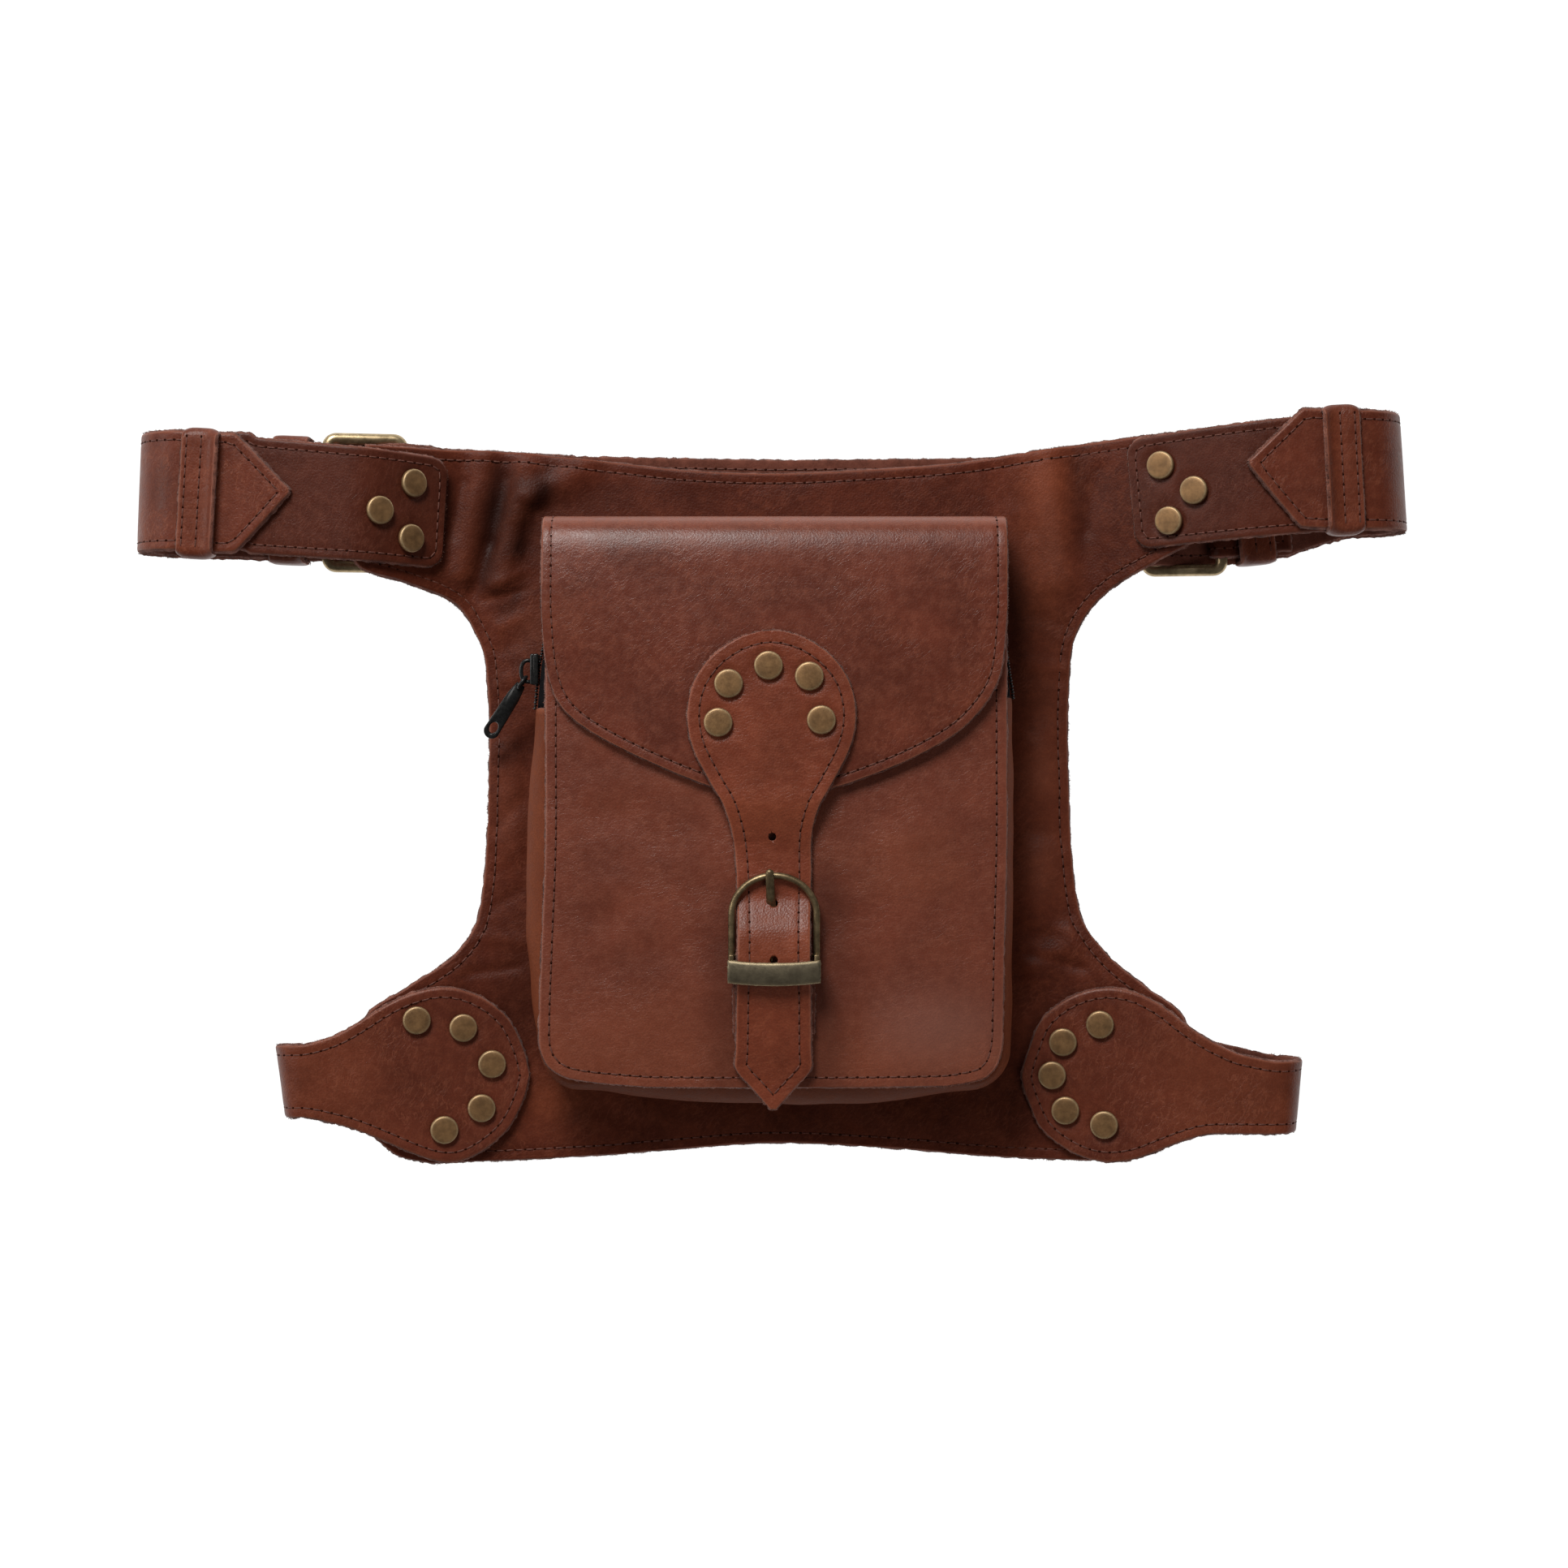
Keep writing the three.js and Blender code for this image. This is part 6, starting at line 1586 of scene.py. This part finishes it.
def buckle_strap_rows(side):
    """Rows of a buckle strap, from its riveted end to the end that is sewn down behind."""
    rows = []
    full = BUCKLE_STRAP_WIDTH / 2
    narrow = full - 1.2
    axis = fold_axis(side)
    level = side["wing"]["start"] + side["wing"]["run"]
    corner = CORNER_ROUND * (1 - np.cos(np.linspace(0, math.pi / 2, 9)))
    on_wing = np.concatenate([side["riveted"] + corner, np.linspace(side["riveted"] + 7, axis - 4, 30)])
    for out in on_wing:
        place, _ = over_wing(side["wing"], side["sign"] * min(out, level + 30), WING_LAYER)
        t = min(max((out - side["riveted"]) / (axis - 4 - side["riveted"]), 0), 1)
        cut_in = max(CORNER_ROUND - (out - side["riveted"]), 0)
        cut_off = CORNER_ROUND - math.sqrt(CORNER_ROUND ** 2 - cut_in ** 2)
        width = mix(RIVETED_WIDTH / 2, full, t) - cut_off
        turn = mix(side["strap_turn"], side["fold_turn"], t)
        rows.append((place[0], mix(side["riveted_y"], side["fold_y"], t), place[2], turn, width, width))

    def lay(out, y, z, turn, reach):
        rows.append((side["sign"] * out, y, z, turn, reach, reach))

    inner = FOLD_RADIUS - LAYER
    for t in np.linspace(0, 1, 37):
        angle = math.pi * (0.5 - t)
        turn = mix(side["fold_turn"], mix(side["fold_turn"], side["rear_turn"], 0.3), t)
        lay(axis + inner * math.cos(angle), side["fold_y"], FOLD_LEVEL + inner * math.sin(angle), turn, full)
    turn_back = mix(side["fold_turn"], side["rear_turn"], 0.5)

    def rear_y(t):
        return mix(side["fold_y"], side["rear_y"], t)

    lay(side["keeper"] + 15, rear_y(0.45), STRAP_THICK / 2 + LAYER, turn_back, full)
    lay(side["keeper"] + 8, rear_y(0.75), REAR_LEVEL + LAYER, turn_back, full)
    lay(side["heel"] + 5, rear_y(0.95), REAR_LEVEL + LAYER, 0, narrow)
    round_bar = BAR_RADIUS + SLIP + STRAP_THICK / 2
    for t in np.linspace(0, 1, 17):
        angle = math.pi * (-0.5 - t)
        z = HEEL_LEVEL + round_bar * math.sin(angle)
        lay(side["heel"] + round_bar * math.cos(angle), rear_y(1), z, 0, narrow)
    lay(side["heel"] + 2, rear_y(1), HEEL_LEVEL + round_bar - 0.6, 0, narrow)
    lay(side["heel"] + 4.4, rear_y(0.95), RETURN_LEVEL + 1.3, 0, narrow)
    lay(side["heel"] + 9, rear_y(0.8), RETURN_LEVEL, 0, narrow)
    lay(side["keeper"] + 9, rear_y(0.75), RETURN_LEVEL, turn_back, narrow)
    return rows


dark_grain = tanned(
    "dark_grain", deep=(0.046, 0.0098, 0.005), middle_tone=(0.068, 0.0148, 0.0074), warm=(0.13, 0.033, 0.015),
    pebble=0.6, cracks=1.1, shine=0.42, gleam=0.2, lie=70,
)
for name, side in SIDES.items():
    middle = strap_grid(buckle_strap_rows(side), 1.1, 30, 1.0, 0.5)
    dents = [wing_rivet(side["wing"], x, y, WING_LAYER)[0] for x, y in UPPER_RIVETS[name]]
    buckle_strap = hide(
        f"buckle_strap_{name}_hide", middle, STRAP_THICK, [dark_grain, *trimmings], grain=-side["sign"],
        seam=BELT_SEAM, relief=0.12 * ripples(middle[..., 0] / 11, middle[..., 1] / 11, 43), pull=0.05,
        dents=dents,
    )
    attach(buckle_strap, "bag")
    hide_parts(f"buckle_strap_{name}")

# Belt buckles
# Two plain rectangular frames of cast brass with rounded corners, fastened behind the straps, each with a
# prong that is curled round the heel bar and passes down through the belt.
BUCKLE_OPENING = 38.6
BUCKLE_CORNER = 2.8
for name, side in SIDES.items():
    half_y = BUCKLE_OPENING / 2 + BAR_RADIUS
    half_x = (side["heel"] - side["far"]) / 2
    centre = (side["heel"] + side["far"]) / 2
    corners = ((1, 1, 0), (-1, 1, 90), (-1, -1, 180), (1, -1, 270))
    frame_line = []
    for way_x, way_y, start in corners:
        for turn in np.radians(np.linspace(start, start + 90, 10)):
            out = centre + way_x * (half_x - BUCKLE_CORNER) + BUCKLE_CORNER * math.cos(turn)
            y = way_y * (half_y - BUCKLE_CORNER) + BUCKLE_CORNER * math.sin(turn)
            z = mix(FAR_LEVEL, HEEL_LEVEL, (out - side["far"]) / (side["heel"] - side["far"]))
            frame_line.append((side["sign"] * out, side["buckle_y"] + y, z))
    cast = Pile()
    rod(cast, frame_line, BAR_RADIUS + 0.25, 20, True)
    belt_buckle = solid_piece(f"belt_buckle_{name}_frame", cast, [wire_brass])
    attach(belt_buckle, "bag")
    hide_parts(f"belt_buckle_{name}")

    ring = BAR_RADIUS + SLIP + BELT_PRONG_RADIUS
    shank = rail(np.array([
        (side["heel"] - 1, HEEL_LEVEL - ring),
        (mix(side["heel"], side["far"], 0.35), mix(HEEL_LEVEL - ring, BELT_PRONG_RADIUS, 0.4)),
        (side["far"] + 3, BELT_PRONG_RADIUS + 0.3),
        (side["far"] - 2.6, BELT_PRONG_RADIUS + 0.3),
    ]), [8, 12, 5.6])(np.linspace(0, 1, 30))
    shank_line = np.stack([side["sign"] * shank[:, 0], np.full(30, side["buckle_y"]), shank[:, 1]], axis=-1)
    curl_x = side["sign"] * side["heel"] + ring * np.cos(curl)
    curl_line = np.stack([curl_x, np.full(24, side["buckle_y"]), HEEL_LEVEL + ring * np.sin(curl)], axis=-1)
    bar = Pile()
    rod(bar, shank_line, blunt(30, BELT_PRONG_RADIUS, 0.04), 14, False, (0, 1, 0))
    rod(bar, curl_line, BELT_PRONG_RADIUS, 12, True, (0, 1, 0))
    belt_prong = solid_piece(f"belt_prong_{name}_bar", bar, [wire_brass])
    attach(belt_prong, "bag")
    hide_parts(f"belt_prong_{name}")

# Keepers
# Narrow bands of thinner hide sewn into loops: one on each front holds the belt's tip, one behind holds
# the layers beside the buckle. Two rows of stitches run across each front face.
KEEPER_WIDTH = 11.4
KEEPER_OPENING = 39.2
KEEPER_ROUND = 2.2
KEEPER_SEAMS = (0.13, 0.54)
KEEPER_FLARE = 2.3


def keeper_loop(half_y, low_z, high_z):
    """A loop of places round a stack of straps, as reach along the keeper and height."""
    turns = np.linspace(0, math.pi / 2, 8)
    places = []
    for way_y, way_z, start in ((1, -1, -90), (1, 1, 0), (-1, 1, 90), (-1, -1, 180)):
        for turn in turns + math.radians(start):
            corner_z = (high_z if way_z > 0 else low_z) - way_z * KEEPER_ROUND
            reach = way_y * (half_y - KEEPER_ROUND) + KEEPER_ROUND * math.cos(turn)
            places.append((reach, corner_z + KEEPER_ROUND * math.sin(turn)))
    return walk(np.array([*places, places[0]]), 1.0)[:-1]


def make_keeper(name, x, y, low_z, high_z, turn, rounding):
    """A keeper round a stack of straps, flared towards the panel, with its rows of stitches."""
    half_y = KEEPER_OPENING / 2 + KEEPER_THICK / 2
    loop = keeper_loop(half_y, low_z - KEEPER_THICK / 2, high_z + KEEPER_THICK / 2)
    angle = math.radians(turn)
    across = np.array([math.sin(angle), math.cos(angle), 0.0])
    along = np.array([math.cos(angle), -math.sin(angle), 0.0])
    shares = 0.5 - spread(16, 0.5)
    corner = np.abs(2 * shares[None, :]) ** 4 * ease((np.abs(loop[:, :1]) - half_y + 5) / 5)
    reach = loop[:, :1] - rounding * corner * np.sign(loop[:, :1])
    middle = np.array([x, y, 0.0]) + reach[..., None] * across + KEEPER_WIDTH * shares[None, :, None] * along
    outward = math.copysign(1, x)
    faces_up = ease((loop[:, 1:2] - low_z) / (high_z - low_z))
    inner = np.clip(-2 * outward * shares[None, :], 0, 1)
    middle[..., 2] = loop[:, 1:2] + KEEPER_FLARE * inner ** 3 * faces_up
    rows = []
    for share in KEEPER_SEAMS:
        place = np.array([x, y, high_z + KEEPER_THICK / 2]) + outward * (0.5 - share) * KEEPER_WIDTH * along
        rows.append(np.array([place + (half_y - 2.5) * across, place - (half_y - 2.5) * across]))
    return hide(
        name, middle, KEEPER_THICK, [strap_grain, *trimmings], grain=-1, loop=True, lines=rows, pull=0.12,
    )


for name, side in SIDES.items():
    front_low = FRONT_LEVEL - LAYER - STRAP_THICK / 2 - GAP
    front_high = FRONT_LEVEL + STRAP_THICK / 2 + GAP
    keeper_x = side["sign"] * side["front_keeper"]
    front_keeper = make_keeper(
        f"front_keeper_{name}_band", keeper_x, side["front_y"], front_low, front_high, side["keeper_turn"],
        rounding=1.4,
    )
    rear_high = RETURN_LEVEL + 1.3 + STRAP_THICK / 2 + GAP
    rear_y = mix(side["fold_y"], side["rear_y"], 0.87)
    rear_turn = mix(side["fold_turn"], side["rear_turn"], 0.5)
    rear_x = side["sign"] * (side["keeper"] - side["keeper_shift"])
    rear_keeper = make_keeper(
        f"rear_keeper_{name}_band", rear_x, rear_y, KEEPER_THICK, rear_high, rear_turn,
        rounding=0.3,
    )
    for place, keeper in (("front", front_keeper), ("rear", rear_keeper)):
        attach(keeper, "bag")
        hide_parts(f"{place}_keeper_{name}")

# Thigh strap
# One strap that ties round the leg, with a round paddle at each end riveted to the panel's lower corners.
# It folds back under itself at both sides and runs flat behind the panel.
THIGH_WIDTH = 23.2
PADDLE_SEAM = 3.0
# Each row is a line across a paddle: x, top y, bottom y.
LEFT_PADDLE = [
    (-80.4, -94.9, -95.5), (-80.9, -92.1, -98.3), (-82.3, -87.0, -103.2), (-87.3, -77, -112.6),
    (-95.1, -70.4, -119.4), (-102.8, -67.2, -123), (-109.9, -66.4, -123), (-119, -68.4, -119.8),
    (-126.7, -72, -116.2), (-134.4, -77, -112.8), (-140.8, -80.9, -110.6), (-147, -83.4, -109),
]
RIGHT_PADDLE = [
    (82.6, -95.5, -96.1), (83.1, -92.7, -98.9), (85, -87.0, -104.2), (89, -77.5, -112.6),
    (96.5, -70.9, -118.8), (104.7, -67.4, -122.4), (112.2, -66.6, -123.2), (120.1, -68.2, -121.8),
    (128.4, -72.6, -118.4), (135.3, -78.1, -115.6), (142.8, -83.2, -113.6), (152, -87.8, -113.4),
]
THIGH_SIDES = {
    "left": {
        "sign": -1, "wing": WINGS["lower_left"], "paddle": LEFT_PADDLE, "fold": 161.6, "fold_y": -96.4,
        "fold_turn": -9, "rear_turn": -12,
    },
    "right": {
        "sign": 1, "wing": WINGS["lower_right"], "paddle": RIGHT_PADDLE, "fold": 173.2, "fold_y": -101.9,
        "fold_turn": 6, "rear_turn": 10,
    },
}
LOWER_RIVETS = {
    "left": [(-116.2, -76.8), (-101.3, -79.5), (-92, -91.5), (-95.4, -105.9), (-107.4, -112.8)],
    "right": [(107.5, -78.4), (95.5, -84.3), (92, -95.2), (96.3, -106.7), (108.8, -111.2)],
}
THIGH_FRONT = PANEL_BASE + WINGS["lower_left"]["rise"] + WING_LAYER
THIGH_RADIUS = (THIGH_FRONT - STRAP_THICK / 2) / 2
THIGH_LEVEL = STRAP_THICK / 2 + THIGH_RADIUS
thigh_rear = curve([
    (-153, -97.6), (-120, -90.4), (-70, -83), (0, -79.6), (70, -83.6), (120, -91.6), (165, -101.5),
])


def thigh_half(side):
    """Half of the thigh strap, from the paddle's nose to the middle of the back."""
    paddle = np.array(side["paddle"])
    bends = np.hypot(np.hypot(*np.diff(paddle[:, :2], axis=0).T), np.abs(np.diff(paddle[:, 2])))
    rows = []
    for x, top, bottom in rail(paddle, bends)(np.linspace(0, 1, 90)):
        place, _ = over_wing(side["wing"], x, WING_LAYER)
        y = (top + bottom) / 2
        rows.append((place[0], y, place[2], 0, top - y, y - bottom))
    axis = side["fold"] - THIGH_RADIUS - STRAP_THICK / 2
    half = THIGH_WIDTH / 2
    for t in np.linspace(0, 1, 31):
        angle = math.pi * (0.5 - t)
        turn = mix(0, side["fold_turn"], 2 * t)
        if t > 0.5:
            turn = mix(side["fold_turn"], side["rear_turn"], 2 * t - 1)
        y = mix(side["fold_y"], float(thigh_rear(side["sign"] * axis)), t)
        out = axis + THIGH_RADIUS * math.cos(angle)
        rows.append((side["sign"] * out, y, THIGH_LEVEL + THIGH_RADIUS * math.sin(angle), turn, half, half))
    for share in (0.86, 0.7, 0.5, 0.25):
        x = side["sign"] * axis * share
        rows.append((x, float(thigh_rear(x)), STRAP_THICK / 2, side["rear_turn"] * share, half, half))
    return rows


thigh_rows = [
    *thigh_half(THIGH_SIDES["left"]),
    (0, float(thigh_rear(0)), STRAP_THICK / 2, 0, THIGH_WIDTH / 2, THIGH_WIDTH / 2),
    *thigh_half(THIGH_SIDES["right"])[::-1],
]
thigh_middle = strap_grid(thigh_rows, 1.25, 28, 1.5, 0.5)
thigh_x, thigh_y = thigh_middle[..., 0], thigh_middle[..., 1]
thigh_dents = [
    wing_rivet(THIGH_SIDES[name]["wing"], x, y, WING_LAYER)[0]
    for name, spots in LOWER_RIVETS.items() for x, y in spots
]
thigh = hide(
    "thigh_strap_hide", thigh_middle, STRAP_THICK, [strap_grain, *trimmings], seam=PADDLE_SEAM,
    relief=0.14 * ripples(thigh_x / 10, thigh_y / 10, 51), pull=0.2 * ease((np.abs(thigh_x) - 118) / 22),
    dents=thigh_dents,
)
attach(thigh, "bag")
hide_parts("thigh_strap")

# Rivets
# Twenty-one capped rivets of antique brass: a low round cap pressed into the hide in front, a post
# through the layers and a smaller flat cap behind.
CAP_RADIUS = 4.6
CAP_HEIGHT = 1.5
POST_RADIUS = 1.5
BACK_RADIUS = 3.5
BACK_HEIGHT = 0.8
CAP_SIDES = 44
# Each row is a ring of the cap: share of the radius, distance below the top, share rubbed bright.
CAP_PROFILE = [
    (0.0, 0.0, 0.05), (0.4, 0.02, 0.05), (0.7, 0.07, 0.08), (0.84, 0.14, 0.2), (0.9, 0.22, 0.8),
    (0.95, 0.36, 1.0), (0.985, 0.62, 0.6), (1.0, 1.0, 0.2), (0.99, 1.7, 0.0), (0.9, 2.0, 0.0),
]
cap_brass = antique_brass("cap_brass", (0.145, 0.074, 0.029), (0.28, 0.152, 0.062), 0.6, 0.48)


def make_rivet(name, place, normal, stack, seat):
    """A turned rivet whose cap rests in its dent at a place on the leather."""
    cap_top = CAP_HEIGHT + 0.3 * seat
    rows = [(CAP_RADIUS * share, cap_top - drop, rub) for share, drop, rub in CAP_PROFILE]
    depth = stack + seat
    rows += [
        (POST_RADIUS, -0.5, 0), (POST_RADIUS, -depth, 0), (BACK_RADIUS, -depth, 0.2),
        (BACK_RADIUS * 0.9, -depth - BACK_HEIGHT * 0.6, 0.8), (BACK_RADIUS * 0.5, -depth - BACK_HEIGHT, 0.1),
    ]
    turns = circle(CAP_SIDES)
    up = unit(np.asarray(normal, float))
    side = unit(np.cross(up, np.array([0.3, 1.0, 0.0])))
    ahead = np.cross(up, side)
    ring = np.cos(turns)[:, None] * side + np.sin(turns)[:, None] * ahead
    points = [place + rows[0][1] * up]
    for radius, height, _ in rows[1:]:
        points.extend(place + height * up + radius * ring)

    def at(i, k):
        return 1 + CAP_SIDES * (i - 1) + k % CAP_SIDES

    last = len(rows) - 1
    faces = [(0, at(1, k), at(1, k + 1)) for k in range(CAP_SIDES)]
    for i in range(1, last):
        faces += [(at(i, k), at(i + 1, k), at(i + 1, k + 1), at(i, k + 1)) for k in range(CAP_SIDES)]
    faces.append(tuple(at(last, k) for k in range(CAP_SIDES)))
    turned_cap = Pile()
    turned_cap.add(np.array(points), faces, 0)
    piece = solid_piece(f"{name}_cap", turned_cap, [cap_brass])
    mark(piece.data, "rubbed", np.array([rows[0][2], *np.repeat([row[2] for row in rows[1:]], CAP_SIDES)]))
    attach(piece, "bag")
    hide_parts(name)


tongue_stack = TONGUE_THICK + GAP + FLAP_THICK
wing_stack = STRAP_THICK + WING_GAP + PANEL_THICK
for count, (x, y) in enumerate(TONGUE_RIVETS, 1):
    height = front_top(x, y) + float(tongue_lift(y)) + TONGUE_THICK / 2
    make_rivet(f"rivet_tongue_{count}", np.array([x, y, height]), (0, 0, 1), tongue_stack, GAP)
for level, places in (("upper", UPPER_RIVETS), ("lower", LOWER_RIVETS)):
    for name, spots in places.items():
        for count, (x, y) in enumerate(spots, 1):
            place, normal = wing_rivet(WINGS[f"{level}_{name}"], x, y, WING_LAYER + STRAP_THICK / 2)
            make_rivet(f"rivet_{level}_{name}_{count}", place, normal, wing_stack, WING_GAP)
